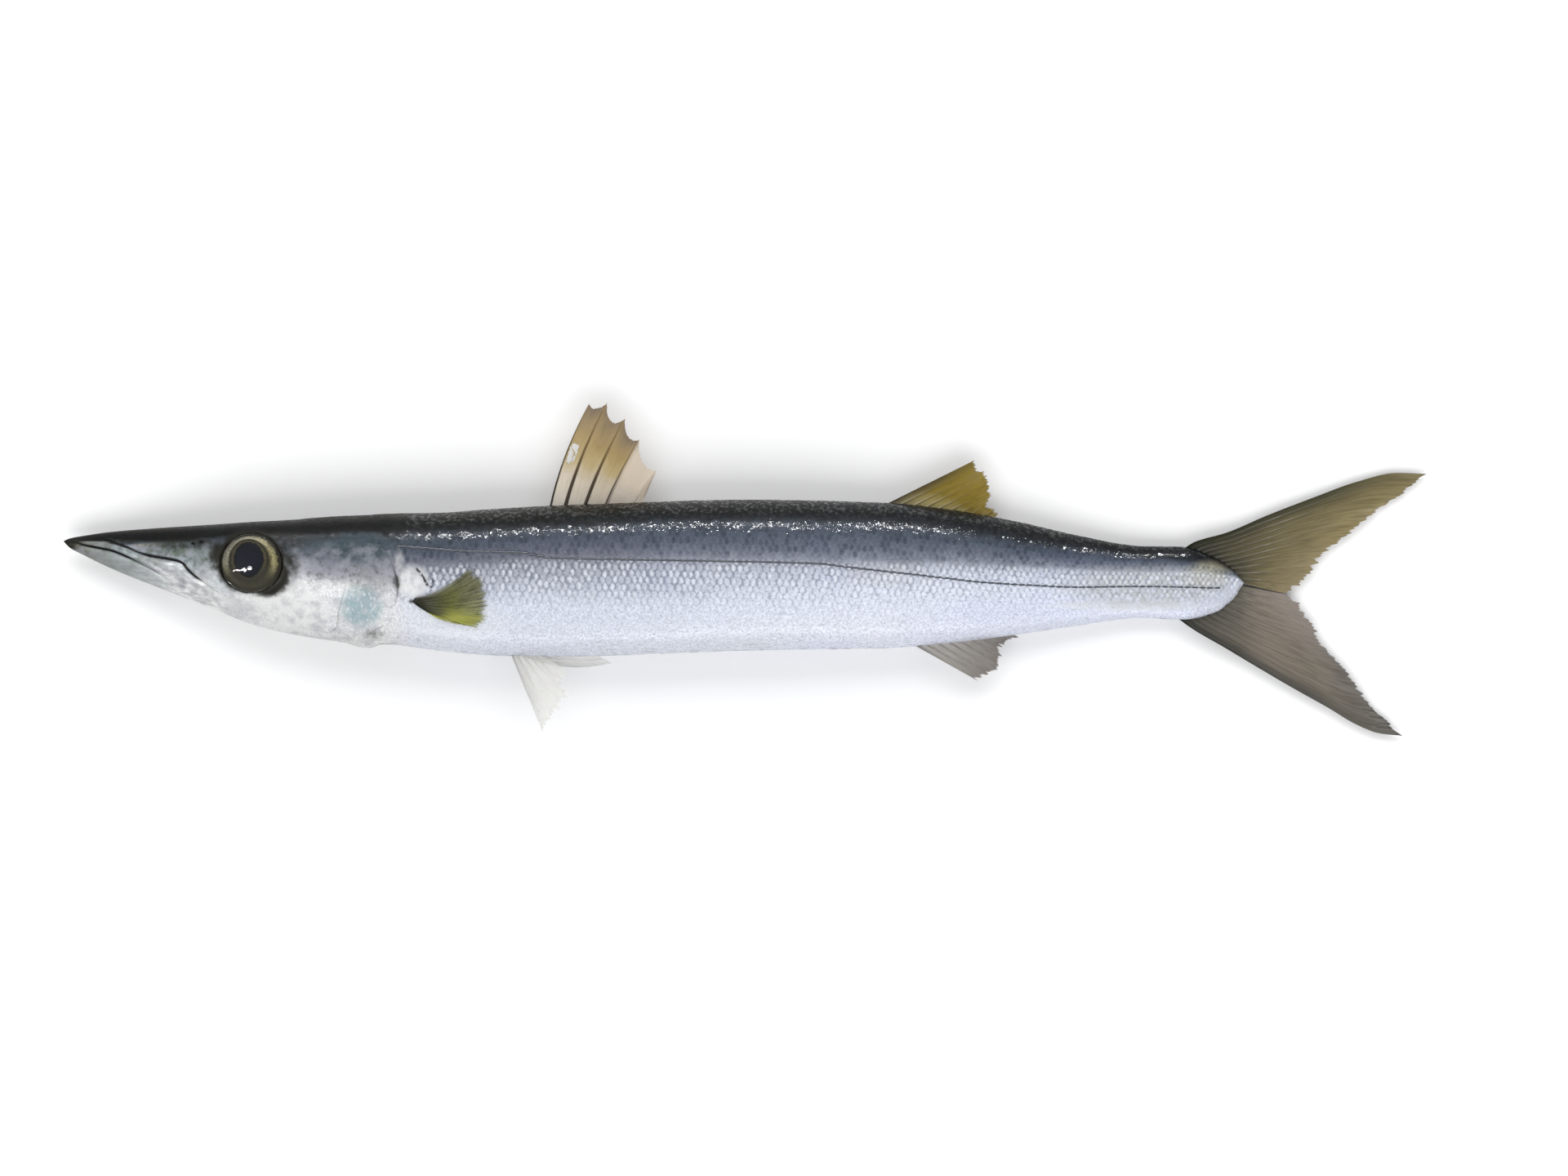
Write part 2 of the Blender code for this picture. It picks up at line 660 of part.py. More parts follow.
def fin_sheet(name, columns, form, height):
    """Closed fin: a membrane with its rays raised on both faces, split alike on both."""
    upper, lower = [], []
    for path, on_ray in columns:
        for point, row in zip(path, form.rows):
            half = MEMBRANE + (form.ridge * (1.0 - RAY_TAPER * row) if on_ray else 0.0)
            z = height(point.x, point.y, row)
            upper.append((point.x, point.y, z + half))
            lower.append((point.x, point.y, z - half))
    return add_mesh(name, upper + lower, sheet_faces(len(columns), len(form.rows)), PARTS)


def sheet_faces(wide, deep):
    """Triangles of two like faces of a sheet and of the rim between them."""
    back = wide * deep
    faces = []
    for i in range(wide - 1):
        for j in range(deep - 1):
            a, b = i * deep + j, (i + 1) * deep + j
            for first, second, third in ((a, b, b + 1), (a, b + 1, a + 1)):
                faces.append((first, second, third))
                faces.append((back + first, back + third, back + second))
    rim = [i * deep for i in range(wide)] + [(wide - 1) * deep + j for j in range(1, deep)]
    rim += [i * deep + deep - 1 for i in range(wide - 2, -1, -1)] + list(range(deep - 2, 0, -1))
    for here, there in zip(rim, rim[1:] + rim[:1]):
        faces.append((here, back + here, back + there))
        faces.append((here, back + there, there))
    return faces


def trim_to_body(fin):
    """Cut the sunk root of a fin away, so that it meets the body across the gap."""
    combine(fin, body_cutter(fin.name + "_seat", GAP), "DIFFERENCE")
    keep_largest(fin)
    return fin


def sunk_root(x, edge, tip):
    """Point inside the body from which a ray to its tip leaves the skin at x."""
    surface = Vector((x, PROFILE[edge](x)))
    run = tip - surface
    return surface - run * min(ROOT_DEPTH / abs(run.y), ROOT_REACH / run.length)


def spread_evenly(first, last, count):
    """Places at even steps from the first to the last."""
    return [first + (last - first) * i / (count - 1) for i in range(count)]


def bow_forward(columns, rows, bow, direction):
    """Bend the rays of a fin outwards at mid length, the front ones most."""
    for i, (path, _) in enumerate(columns):
        share = 1.0 - i / (len(columns) - 1)
        for point, row in zip(path, rows):
            point += direction * bow * share * hump(row)


def hanging(form):
    """Height of a fin in the middle plane whose tips hang down."""
    return lambda x, y, row: middle_level(x) - form.lean * row * row


def build_first_dorsal():
    """Five stiff spines with a drawn-in membrane between them."""
    tips = [Vector((ray.tip_x, ray.tip_y)) for ray in FIRST_DORSAL]
    roots = [sunk_root(ray.root_x, "top", tip) for ray, tip in zip(FIRST_DORSAL, tips)]
    columns = ray_columns(roots, tips, SPINY)
    bow_forward(columns, SPINY.rows, SPINE_BOW, Vector((-1.0, 0.0)))
    fin = fin_sheet("fin_dorsal_first", columns, SPINY, hanging(SPINY))
    return trim_to_body(fin)


def build_soft_fin(name, ends, margin, edge):
    """Second dorsal or anal fin, with branched rays that end on one margin."""
    tips = [along(margin, part) for part in spread_evenly(0.0, 1.0, SOFT.rays)]
    roots = [sunk_root(x, edge, tip) for x, tip in zip(spread_evenly(*ends, SOFT.rays), tips)]
    fin = fin_sheet(name, ray_columns(roots, tips, SOFT), SOFT, hanging(SOFT))
    return trim_to_body(fin)


def build_pelvic(name, margin, side, bow, form):
    """One of the pair of fins under the belly, its front rays bowed away from it."""
    places = spread_evenly(*PELVIC_ROOTS, form.rays)
    roots = [Vector((x, PROFILE["bottom"](x) + ROOT_DEPTH)) for x in places]
    tips = [along(margin, part) for part in spread_evenly(0.0, 1.0, form.rays)]
    columns = ray_columns(roots, tips, form)
    bow_forward(columns, form.rows, bow, Vector((0.0, -1.0)))
    fin = fin_sheet(name, columns, form,
                    lambda x, y, row: middle_level(x) + side * (PELVIC_OFF_CENTRE + form.lean * row))
    return trim_to_body(fin)


def build_pectoral(name, side):
    """One breast fin, laid back along the flank behind its gill cover."""
    parts = spread_evenly(0.0, 1.0, BREAST.rays)
    roots = [along(PECTORAL_ROOTS, part) for part in parts]
    tips = [along(PECTORAL_MARGIN, part) for part in parts]

    def height(x, y, row):
        off = BREAST.lean - PECTORAL_SUNK * max(0.0, PECTORAL_FREE - row) / PECTORAL_FREE
        return middle_level(x) + side * (flank_rise(x, y) + off)

    return trim_to_body(fin_sheet(name, ray_columns(roots, tips, BREAST), BREAST, height))


def lobe_columns(edge, roots, margin, inner_shift, chance):
    """Columns of one tail lobe, from its bowed leading edge to the fork."""
    columns = []
    count = 2 * LOBE.rays - 1
    for i in range(count):
        part = i / (count - 1)
        on_ray = i % 2 == 0
        root, tip = along(roots, part), along(margin, part)
        if 0 < i < count - 1:
            worn = chance.random() * FRAY + (0.0 if on_ray else LOBE.notch)
            tip = tip.lerp(root, worn / (tip - root).length)
        shift = Vector((0.0, inner_shift * part ** FORK_BEND))
        bow_share = (1.0 - part) ** 2
        path = []
        for row in LOBE.rows:
            straight = root.lerp(tip, row)
            bow = along(edge, row) - Vector(edge[0]).lerp(Vector(edge[-1]), row)
            path.append(straight + bow * bow_share + shift)
        columns.append((path, on_ray))
    return columns


def build_tail_lobe(name, edge, roots, margin, inner_shift):
    """Upper or lower lobe of the forked tail fin."""
    columns = lobe_columns(edge, roots, margin, inner_shift, random.Random(SEED))
    return trim_to_body(fin_sheet(name, columns, LOBE, hanging(LOBE)))


def dress(thing, finish):
    """Give an object its own material."""
    material = bpy.data.materials.new(thing.name + "_finish")
    material.use_nodes = True
    shader = material.node_tree.nodes["Principled BSDF"]
    shader.inputs["Base Color"].default_value = (finish.red, finish.green, finish.blue, 1.0)
    shader.inputs["Roughness"].default_value = finish.roughness
    shader.inputs["Metallic"].default_value = finish.metallic
    thing.data.materials.clear()
    thing.data.materials.append(material)


def build_plates():
    """Upper jaw bones and gill covers of both sides, each with its room in the body."""
    built = {"jaw": [], "gill": []}
    for side, word in ((1, "left"), (-1, "right")):
        for kind, base, outline, size, finish in (
                ("jaw", "jaw_upper_", UPPER_JAW, JAW_PLATE, JAW_SKIN),
                ("gill", "gill_cover_", GILL_COVER, GILL_PLATE, CHEEK_SKIN)):
            dress(plate(base + word, outline, size, side), finish)
            built[kind].append(plate_pocket(base + word, outline, size, side))
    return built["jaw"], built["gill"]


def build_body():
    """Head, jaws, gill covers, eyes and the lengths of the trunk."""
    jaw_pockets, gill_pockets = build_plates()
    dress(build_head(jaw_pockets + gill_pockets), CHEEK_SKIN)
    dress(build_lower_jaw(), JAW_SKIN)
    dress(build_trunk("trunk_front", NECK + GAP, TRUNK_PARTING, gill_pockets), SILVER_SKIN)
    dress(build_trunk("trunk_rear", TRUNK_PARTING + GAP, STALK_PARTING, ()), SILVER_SKIN)
    dress(build_trunk("tail_stalk", STALK_PARTING + GAP, BODY_END, ()), BACK_SKIN)
    dress(eye("eye_left", 1), EYE_WALL)
    dress(eye("eye_right", -1), EYE_WALL)


def build_fins():
    """All fins, each set on the body across the gap."""
    dress(build_first_dorsal(), DORSAL_FIN)
    dress(build_soft_fin("fin_dorsal_second", SECOND_DORSAL_ROOTS, SECOND_DORSAL_MARGIN, "top"), YELLOW_FIN)
    dress(build_soft_fin("fin_anal", ANAL_ROOTS, ANAL_MARGIN, "bottom"), PALE_FIN)
    dress(build_pelvic("fin_pelvic_left", PELVIC_SPREAD, 1, 0.0, SPREAD), PALE_FIN)
    dress(build_pelvic("fin_pelvic_right", PELVIC_FOLDED, -1, PELVIC_FOLDED_BOW, FOLDED), PALE_FIN)
    dress(build_pectoral("fin_pectoral_left", 1), YELLOW_FIN)
    dress(build_pectoral("fin_pectoral_right", -1), YELLOW_FIN)
    dress(build_tail_lobe("fin_tail_upper", TAIL_TOP_EDGE, TAIL_TOP_ROOTS, TAIL_TOP_MARGIN, GAP / 2.0),
          YELLOW_FIN)
    dress(build_tail_lobe("fin_tail_lower", TAIL_LOW_EDGE, TAIL_LOW_ROOTS, TAIL_LOW_MARGIN, -GAP / 2.0),
          YELLOW_FIN)


def centre_on_floor():
    """Move every part so that the box of the whole fish is centred over the origin."""
    corners = [part.matrix_world @ vertex.co for part in PARTS.objects for vertex in part.data.vertices]
    middle = [(min(c[axis] for c in corners) + max(c[axis] for c in corners)) / 2.0 for axis in (0, 1)]
    shift = Vector((-middle[0], -middle[1], -min(corner.z for corner in corners)))
    for part in PARTS.objects:
        part.location = shift


PARTS, CUTTERS = start_collections()
build_body()
build_fins()
centre_on_floor()
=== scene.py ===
"""Looks of a life-size barracuda that lies on its right side, seen from straight above.

Shapes are worked out in fish millimetres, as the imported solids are: x runs from the tip of the lower jaw
to the tail, y towards the back and z up from the floor. Placement turns them into the frame's metres.
"""
from __future__ import annotations

import logging
import math
from dataclasses import dataclass, field
from enum import Enum
from typing import Callable, Sequence

import bpy
import numpy as np
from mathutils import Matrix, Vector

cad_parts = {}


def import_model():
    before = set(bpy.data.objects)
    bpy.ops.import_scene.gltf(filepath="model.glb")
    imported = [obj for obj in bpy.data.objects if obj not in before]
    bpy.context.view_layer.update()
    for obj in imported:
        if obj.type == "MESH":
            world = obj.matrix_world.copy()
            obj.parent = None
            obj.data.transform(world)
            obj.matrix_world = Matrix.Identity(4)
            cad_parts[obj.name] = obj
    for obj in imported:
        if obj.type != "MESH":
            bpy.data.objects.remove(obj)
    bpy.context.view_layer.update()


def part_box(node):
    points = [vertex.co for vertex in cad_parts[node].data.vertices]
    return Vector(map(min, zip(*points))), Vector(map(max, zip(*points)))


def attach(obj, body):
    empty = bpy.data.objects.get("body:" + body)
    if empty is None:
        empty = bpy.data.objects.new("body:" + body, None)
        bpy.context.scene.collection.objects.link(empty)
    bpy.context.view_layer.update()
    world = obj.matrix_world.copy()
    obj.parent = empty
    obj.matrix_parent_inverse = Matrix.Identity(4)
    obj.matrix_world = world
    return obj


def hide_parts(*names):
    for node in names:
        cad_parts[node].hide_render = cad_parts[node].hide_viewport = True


LOG = logging.getLogger("barracuda")
BODY = "root"
MM = 0.001
BAKE_MAP = "OFBake"
RIM_ANGLE = 70.0
SKIN_SUNK = 0.16

Array = np.ndarray
Mesh = bpy.types.Mesh
Material = bpy.types.Material
Piece = bpy.types.Object
Colour = tuple[float, float, float]
Pair = tuple[float, float]
Curve = Callable[[Array], Array]
Level = Callable[[Array, Array, Array], Array]
Line = Sequence[Pair]


class Flank(Enum):
    """Side of the fish, by the way its skin faces."""

    LEFT = 1
    RIGHT = -1

    @property
    def word(self) -> str:
        """Word for the side in the names of pieces."""
        return self.name.lower()


# Shape helpers

def ease(value: Array, low: float, high: float) -> Array:
    """Smooth step from 0 at low to 1 at high.

    Args:
        value: Numbers to place between the two ends.
        low: Where the step starts, above high for a falling step.
        high: Where the step ends.

    Returns:
        Shares between 0 and 1.
    """
    part = np.clip((value - low) / (high - low), 0.0, 1.0)
    return part * part * (3.0 - 2.0 * part)


def bell(value: Array, width: float) -> Array:
    """Rounded bump of height 1 at 0 and of the given width."""
    return np.exp(-(value / width) ** 2)


def smooth_curve(points: Line) -> Curve:
    """Curve y(x) through points that doesn't overshoot and is level beyond both ends.

    Args:
        points: Knots in order of x.

    Returns:
        Function of an array of x.
    """
    xs = np.array([point[0] for point in points])
    ys = np.array([point[1] for point in points])
    rises = np.diff(ys) / np.diff(xs)
    product = rises[:-1] * rises[1:]
    total = np.where(product > 0.0, rises[:-1] + rises[1:], 1.0)
    inner = np.where(product > 0.0, 2.0 * product / total, 0.0)
    slopes = np.concatenate([rises[:1], inner, rises[-1:]])

    def curve(x: Array) -> Array:
        """Height of the curve at x."""
        x = np.clip(x, xs[0], xs[-1])
        i = np.clip(np.searchsorted(xs, x, side="right") - 1, 0, len(xs) - 2)
        run = xs[i + 1] - xs[i]
        t = (x - xs[i]) / run
        blend = t * t * (3.0 - 2.0 * t)
        start = slopes[i] * run * t * (1.0 - t) ** 2
        end = slopes[i + 1] * run * t * t * (1.0 - t)
        return ys[i] + (ys[i + 1] - ys[i]) * blend + start - end

    return curve


def signed_power(value: Array, power: Array) -> Array:
    """Raise the size of each value to a power and keep its sign."""
    return np.sign(value) * np.abs(value) ** power


def measured(line: Line) -> tuple[Array, Array, Array]:
    """Corners of a broken line, the lengths between them, and the way from its start to each."""
    corners = np.array(line, float)
    lengths = np.linalg.norm(np.diff(corners, axis=0), axis=1)
    return corners, lengths, np.concatenate([[0.0], np.cumsum(lengths)])


def along(line: Line, part: Array) -> Array:
    """Points at parts of the way along a broken line, evened by its length.

    Args:
        line: Corners of the line.
        part: Shares of the way, from 0 to 1.

    Returns:
        One point for each share.
    """
    corners, _, way = measured(line)
    wanted = np.clip(part, 0.0, 1.0) * way[-1]
    return np.stack([np.interp(wanted, way, corners[:, axis]) for axis in (0, 1)], axis=-1)


def rounded(line: Line, steps: int = 8) -> Array:
    """Broken line with its corners drawn as one smooth curve through its points.

    Args:
        line: Points that the curve passes through.
        steps: Pieces of curve between two points.

    Returns:
        Denser broken line.
    """
    corners, _, way = measured(line)
    spans = [np.linspace(a, b, steps, endpoint=False) for a, b in zip(way, way[1:])]
    places = np.concatenate(spans + [way[-1:]])
    curves = [smooth_curve(list(zip(way, corners[:, axis]))) for axis in (0, 1)]
    return np.stack([curve(places) for curve in curves], axis=-1)


def line_distance(points: Array, line: Line) -> tuple[Array, Array]:
    """Distance of points from a broken line, and how far along it they lie.

    Args:
        points: Places seen from the side.
        line: Corners of the line.

    Returns:
        Distances, and shares of the line's length at the nearest place.
    """
    corners, lengths, way = measured(line)
    nearest, share = np.full(len(points), np.inf), np.zeros(len(points))
    for start, end, before, length in zip(corners, corners[1:], way, lengths):
        run = end - start
        part = np.clip((points - start) @ run / max(run @ run, 1e-12), 0.0, 1.0)
        gap = np.linalg.norm(points - (start + part[:, None] * run), axis=1)
        closer = gap < nearest
        nearest = np.where(closer, gap, nearest)
        share = np.where(closer, (before + part * length) / way[-1], share)
    return nearest, share


def inside(points: Array, outline: Line) -> Array:
    """Tell which points lie inside a closed outline."""
    corners = np.array(outline, float)
    crossed = np.zeros(len(points), bool)
    for (x0, y0), (x1, y1) in zip(corners, np.roll(corners, -1, axis=0)):
        spans = (y0 > points[:, 1]) != (y1 > points[:, 1])
        rise = y1 - y0 if y1 != y0 else 1e-12
        crossed ^= spans & (points[:, 0] < (x1 - x0) * (points[:, 1] - y0) / rise + x0)
    return crossed


def depth_inside(points: Array, outline: Line) -> Array:
    """Distance from a closed outline, positive inside it and negative outside."""
    closed = list(outline) + [outline[0]]
    return np.where(inside(points, outline), 1.0, -1.0) * line_distance(points, closed)[0]


def oval(points: Array, centre: Pair, radii: Pair) -> Array:
    """Distance from a centre, measured in the radii of an oval round it."""
    return np.hypot((points[:, 0] - centre[0]) / radii[0], (points[:, 1] - centre[1]) / radii[1])


# Form of the fish

@dataclass(frozen=True)
class Station:
    """One section of the body: its outline, width, clearance over the floor and how square it is."""

    x: float
    top: float
    middle: float
    bottom: float
    half: float
    clearance: float
    crown: float
    keel: float


STATIONS = tuple(Station(*row) for row in (
    (0.0, 10.3, 10.0, 9.6, 0.5, 6.2, 2.0, 2.0),
    (1.5, 10.9, 9.7, 8.1, 1.2, 5.8, 2.1, 2.0),
    (5.1, 11.6, 9.0, 6.2, 2.0, 5.0, 2.3, 2.0),
    (13.9, 12.8, 7.7, 2.0, 3.5, 4.0, 2.7, 1.9),
    (27.1, 13.8, 5.5, -3.2, 6.1, 3.2, 3.0, 1.8),
    (40.3, 14.6, 3.5, -8.2, 8.8, 2.6, 3.1, 1.8),
    (51.0, 15.3, 2.6, -12.5, 10.8, 2.3, 3.0, 1.8),
    (62.3, 15.9, 1.6, -15.3, 11.8, 2.1, 2.8, 1.9),
    (75.5, 16.8, 0.6, -17.4, 12.7, 2.0, 2.6, 2.0),
    (82.9, 17.1, 0.2, -19.0, 13.1, 1.95, 2.5, 2.1),
    (87.0, 17.4, 0.0, -17.9, 13.3, 1.9, 2.5, 2.2),
    (102.3, 17.7, -0.4, -19.6, 13.9, 1.6, 2.4, 2.3),
    (115.0, 18.6, -0.7, -20.8, 14.2, 1.2, 2.4, 2.3),
    (130.0, 19.5, -0.6, -21.2, 14.4, 0.1, 2.4, 2.3),
    (140.0, 19.9, -0.4, -21.1, 14.5, -0.4, 2.4, 2.3),
    (185.9, 21.2, 0.7, -19.5, 14.7, -0.4, 2.4, 2.3),
    (222.0, 20.4, 0.7, -18.9, 13.0, -0.4, 2.3, 2.3),
    (238.7, 18.7, 0.4, -17.6, 11.5, -0.4, 2.3, 2.2),
    (258.5, 15.2, 0.0, -15.2, 8.8, -0.4, 2.2, 2.2),
    (273.9, 11.7, -0.7, -12.9, 6.9, -0.2, 2.2, 2.2),
    (291.5, 8.8, -1.1, -10.8, 5.2, 0.3, 2.2, 2.2),
    (302.5, 8.6, -1.3, -11.3, 4.3, 0.8, 2.2, 2.2),
    (311.3, 5.7, -1.3, -9.4, 2.9, 1.4, 2.2, 2.2),
    (316.1, 2.6, -1.3, -6.0, 2.0, 1.6, 2.0, 2.0),
    (319.2, -0.9, -1.3, -1.8, 1.3, 1.8, 2.0, 2.0),
))
BODY_END = STATIONS[-1].x
TAIL_LEVEL = ((319.2, 3.1), (332.0, 2.9), (350.0, 2.3), (372.0, 1.4))
LATERAL_LINE = (
    (91.5, 8.6), (112.2, 7.1), (123.9, 6.8), (131.6, 5.5), (144.5, 5.1), (168.3, 4.7), (203.5, 3.9),
    (211.4, 3.0), (222.9, 1.7), (237.3, 0.1), (246.8, -1.0), (261.1, -1.9), (273.9, -2.4), (291.5, -2.2),
    (310.0, -2.6))


class BodyForm:
    """Rounded sections of the fish, with places on them told by x and by the share of the girth.

    The share runs from 0 at the belly over the left flank to 0.5 at the back, and over the right
    flank to 1 at the belly again.
    """

    TABLE_STEP = 0.5
    TABLE_SHARES = 161
    TURNS = 361
    PROBE_X = 0.4
    PROBE_SHARE = 0.003

    def __init__(self) -> None:
        """Make the outline curves and the table that evens places round the girth."""
        names = ("top", "middle", "bottom", "half", "clearance", "crown", "keel")
        self.curves = {name: smooth_curve([(s.x, getattr(s, name)) for s in STATIONS]) for name in names}
        self.droop = smooth_curve(TAIL_LEVEL)
        self.table_x = np.arange(0.0, BODY_END + self.TABLE_STEP, self.TABLE_STEP)
        turns = np.linspace(-math.pi / 2.0, math.pi / 2.0, self.TURNS)
        y, rise = self.half_ring(self.table_x[:, None], turns[None, :])
        steps = np.hypot(np.diff(y, axis=1), np.diff(rise, axis=1))
        travelled = np.concatenate([np.zeros((len(y), 1)), np.cumsum(steps, axis=1)], axis=1)
        self.table_girth = travelled[:, -1]
        shares = np.linspace(0.0, 1.0, self.TABLE_SHARES)
        self.table_turn = np.array([np.interp(shares, row / row[-1], turns) for row in travelled])
        self.table_y = np.array([np.interp(shares, row / row[-1], ys) for row, ys in zip(travelled, y)])

    def at(self, name: str, x: Array) -> Array:
        """One measure of the sections at places along the fish."""
        return self.curves[name](x)

    def one(self, name: str, x: float) -> float:
        """One measure of the section at a single place."""
        return float(self.at(name, np.array([x]))[0])

    def half_ring(self, x: Array, turn: Array) -> tuple[Array, Array]:
        """Left half of the sections.

        Args:
            x: Places along the fish.
            turn: Angle from the flank, positive towards the back.

        Returns:
            Height towards the back, and distance from the middle plane.
        """
        upper = np.sin(turn) >= 0.0
        power = 2.0 / np.where(upper, self.at("crown", x), self.at("keel", x))
        middle = self.at("middle", x)
        reach = np.where(upper, self.at("top", x) - middle, middle - self.at("bottom", x))
        y = middle + reach * signed_power(np.sin(turn), power)
        rise = self.at("half", x) * np.clip(np.cos(turn), 0.0, 1.0) ** power
        return y, rise

    def level(self, x: Array) -> Array:
        """Height of the middle plane of the fish over the floor."""
        on_body = self.at("half", x) + self.at("clearance", x)
        return np.where(x > BODY_END, self.droop(x), on_body)

    def girth(self, x: Array) -> Array:
        """Length of one flank from the belly to the back."""
        return np.interp(x, self.table_x, self.table_girth)

    def point(self, x: Array, share: Array) -> Array:
        """Points of the surface.

        Args:
            x: Places along the fish.
            share: Shares of the girth.

        Returns:
            Points in fish millimetres, pressed flat where the fish rests.
        """
        x = np.clip(x, 0.0, BODY_END)
        share = share % 1.0
        side = np.where(share <= 0.5, 1.0, -1.0)
        row = np.clip(x / self.TABLE_STEP, 0.0, len(self.table_x) - 1.001)
        column = (1.0 - np.abs(1.0 - 2.0 * share)) * (self.TABLE_SHARES - 1)
        i = row.astype(int)
        j = np.minimum(column.astype(int), self.TABLE_SHARES - 2)
        f, g = row - i, column - j
        table = self.table_turn
        turn = (
            (table[i, j] * (1 - g) + table[i, j + 1] * g) * (1 - f)
            + (table[i + 1, j] * (1 - g) + table[i + 1, j + 1] * g) * f)
        y, rise = self.half_ring(x, turn)
        return np.stack([x, y, np.maximum(self.level(x) + side * rise, 0.0)], axis=-1)

    def frame(self, x: Array, share: Array) -> tuple[Array, Array, Array]:
        """Points of the surface with their outward normals and the direction of the tail.

        Args:
            x: Places along the fish.
            share: Shares of the girth.

        Returns:
            Points, unit normals, and unit tangents that run rearwards.
        """
        lengthwise = self.point(x + self.PROBE_X, share) - self.point(x - self.PROBE_X, share)
        upwards = self.point(x, share + self.PROBE_SHARE) - self.point(x, share - self.PROBE_SHARE)
        normal = np.cross(lengthwise, upwards)
        normal /= np.maximum(np.linalg.norm(normal, axis=-1, keepdims=True), 1e-9)
        tangent = lengthwise - normal * np.sum(lengthwise * normal, axis=-1, keepdims=True)
        tangent /= np.maximum(np.linalg.norm(tangent, axis=-1, keepdims=True), 1e-9)
        return self.point(x, share), normal, tangent

    def flank_rise(self, x: Array, y: Array) -> Array:
        """Distance of the flank from the middle plane at places seen from the side."""
        middle = self.at("middle", x)
        above = y >= middle
        reach = np.where(above, self.at("top", x) - middle, middle - self.at("bottom", x))
        power = np.where(above, self.at("crown", x), self.at("keel", x))
        part = np.clip(np.abs(y - middle) / reach, 0.0, 1.0)
        return self.at("half", x) * (1.0 - part ** power) ** (1.0 / power)

    def share_at(self, x: Array, y: Array) -> Array:
        """Share of one flank's girth, from the belly, at places seen from the side."""
        row = np.clip((x / self.TABLE_STEP).astype(int), 0, len(self.table_x) - 1)
        shares = np.linspace(0.0, 1.0, self.TABLE_SHARES)
        return np.array([np.interp(height, self.table_y[i], shares) for i, height in zip(row, y)])


@dataclass(frozen=True)
class Placement:
    """Where fish millimetres lie in the frame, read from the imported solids."""

    shift_x: float
    shift_y: float

    @classmethod
    def from_frame(cls, form: BodyForm) -> Placement:
        """Find the shift from the tip of the lower jaw and the top of the front trunk.

        Args:
            form: Form of the fish that the solids were made from.

        Returns:
            The placement.
        """
        jaw_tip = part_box("jaw_lower")[0].x / MM
        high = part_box("trunk_front")[1]
        back = form.one("top", high.x / MM - jaw_tip)
        return cls(jaw_tip, high.y / MM - back)

    def world(self, points: Array) -> Array:
        """Turn fish millimetres into metres of the frame."""
        return (points + np.array([self.shift_x, self.shift_y, 0.0])) * MM


# Outlines of the head, seen from the side

EYE_CENTRE = (51.7, 4.0)
EYE_RADII = (8.7, 8.0)
NOSTRILS = ((37.8, 9.9, 0.55), (35.6, 9.4, 0.4))
MOUTH_LINE = (
    (0.4, 9.9), (2.3, 9.9), (5.0, 9.1), (8.8, 8.3), (12.8, 7.5), (17.6, 5.6), (21.8, 3.5), (25.8, 1.3),
    (28.7, -0.7), (32.6, -2.6), (35.8, -5.6), (37.8, -5.9))
JAW_GROOVE = (
    (11.7, 10.4), (14.2, 9.5), (17.6, 8.3), (21.0, 6.8), (24.5, 5.9), (28.2, 5.3), (30.9, 4.8), (32.8, 4.0),
    (34.1, 2.4), (35.7, 0.8), (37.6, -0.6), (40.5, -2.6))
JAW_END = ((40.5, -2.6), (40.9, -4.2), (39.9, -5.6), (37.8, -6.0))
GILL_COVER = (
    (78.5, 8.1), (82.5, 9.5), (86.6, 9.2), (88.2, 7.0), (89.6, 4.2), (90.7, 1.3), (91.4, -1.8),
    (91.2, -4.8), (90.4, -7.5), (89.3, -9.5), (87.1, -12.5), (84.7, -14.4), (81.8, -15.6), (78.1, -15.2),
    (74.9, -13.4), (75.2, -10.3), (76.3, -7.0), (77.4, -2.6), (77.7, 1.8))


@dataclass(frozen=True)
class Fold:
    """Groove or crease of the skin: its line, width, depth and painted shade, and their weights along it."""

    line: Line
    width: float
    depth: float
    dark: float
    weights: Line = ((0.0, 1.0), (1.0, 1.0))
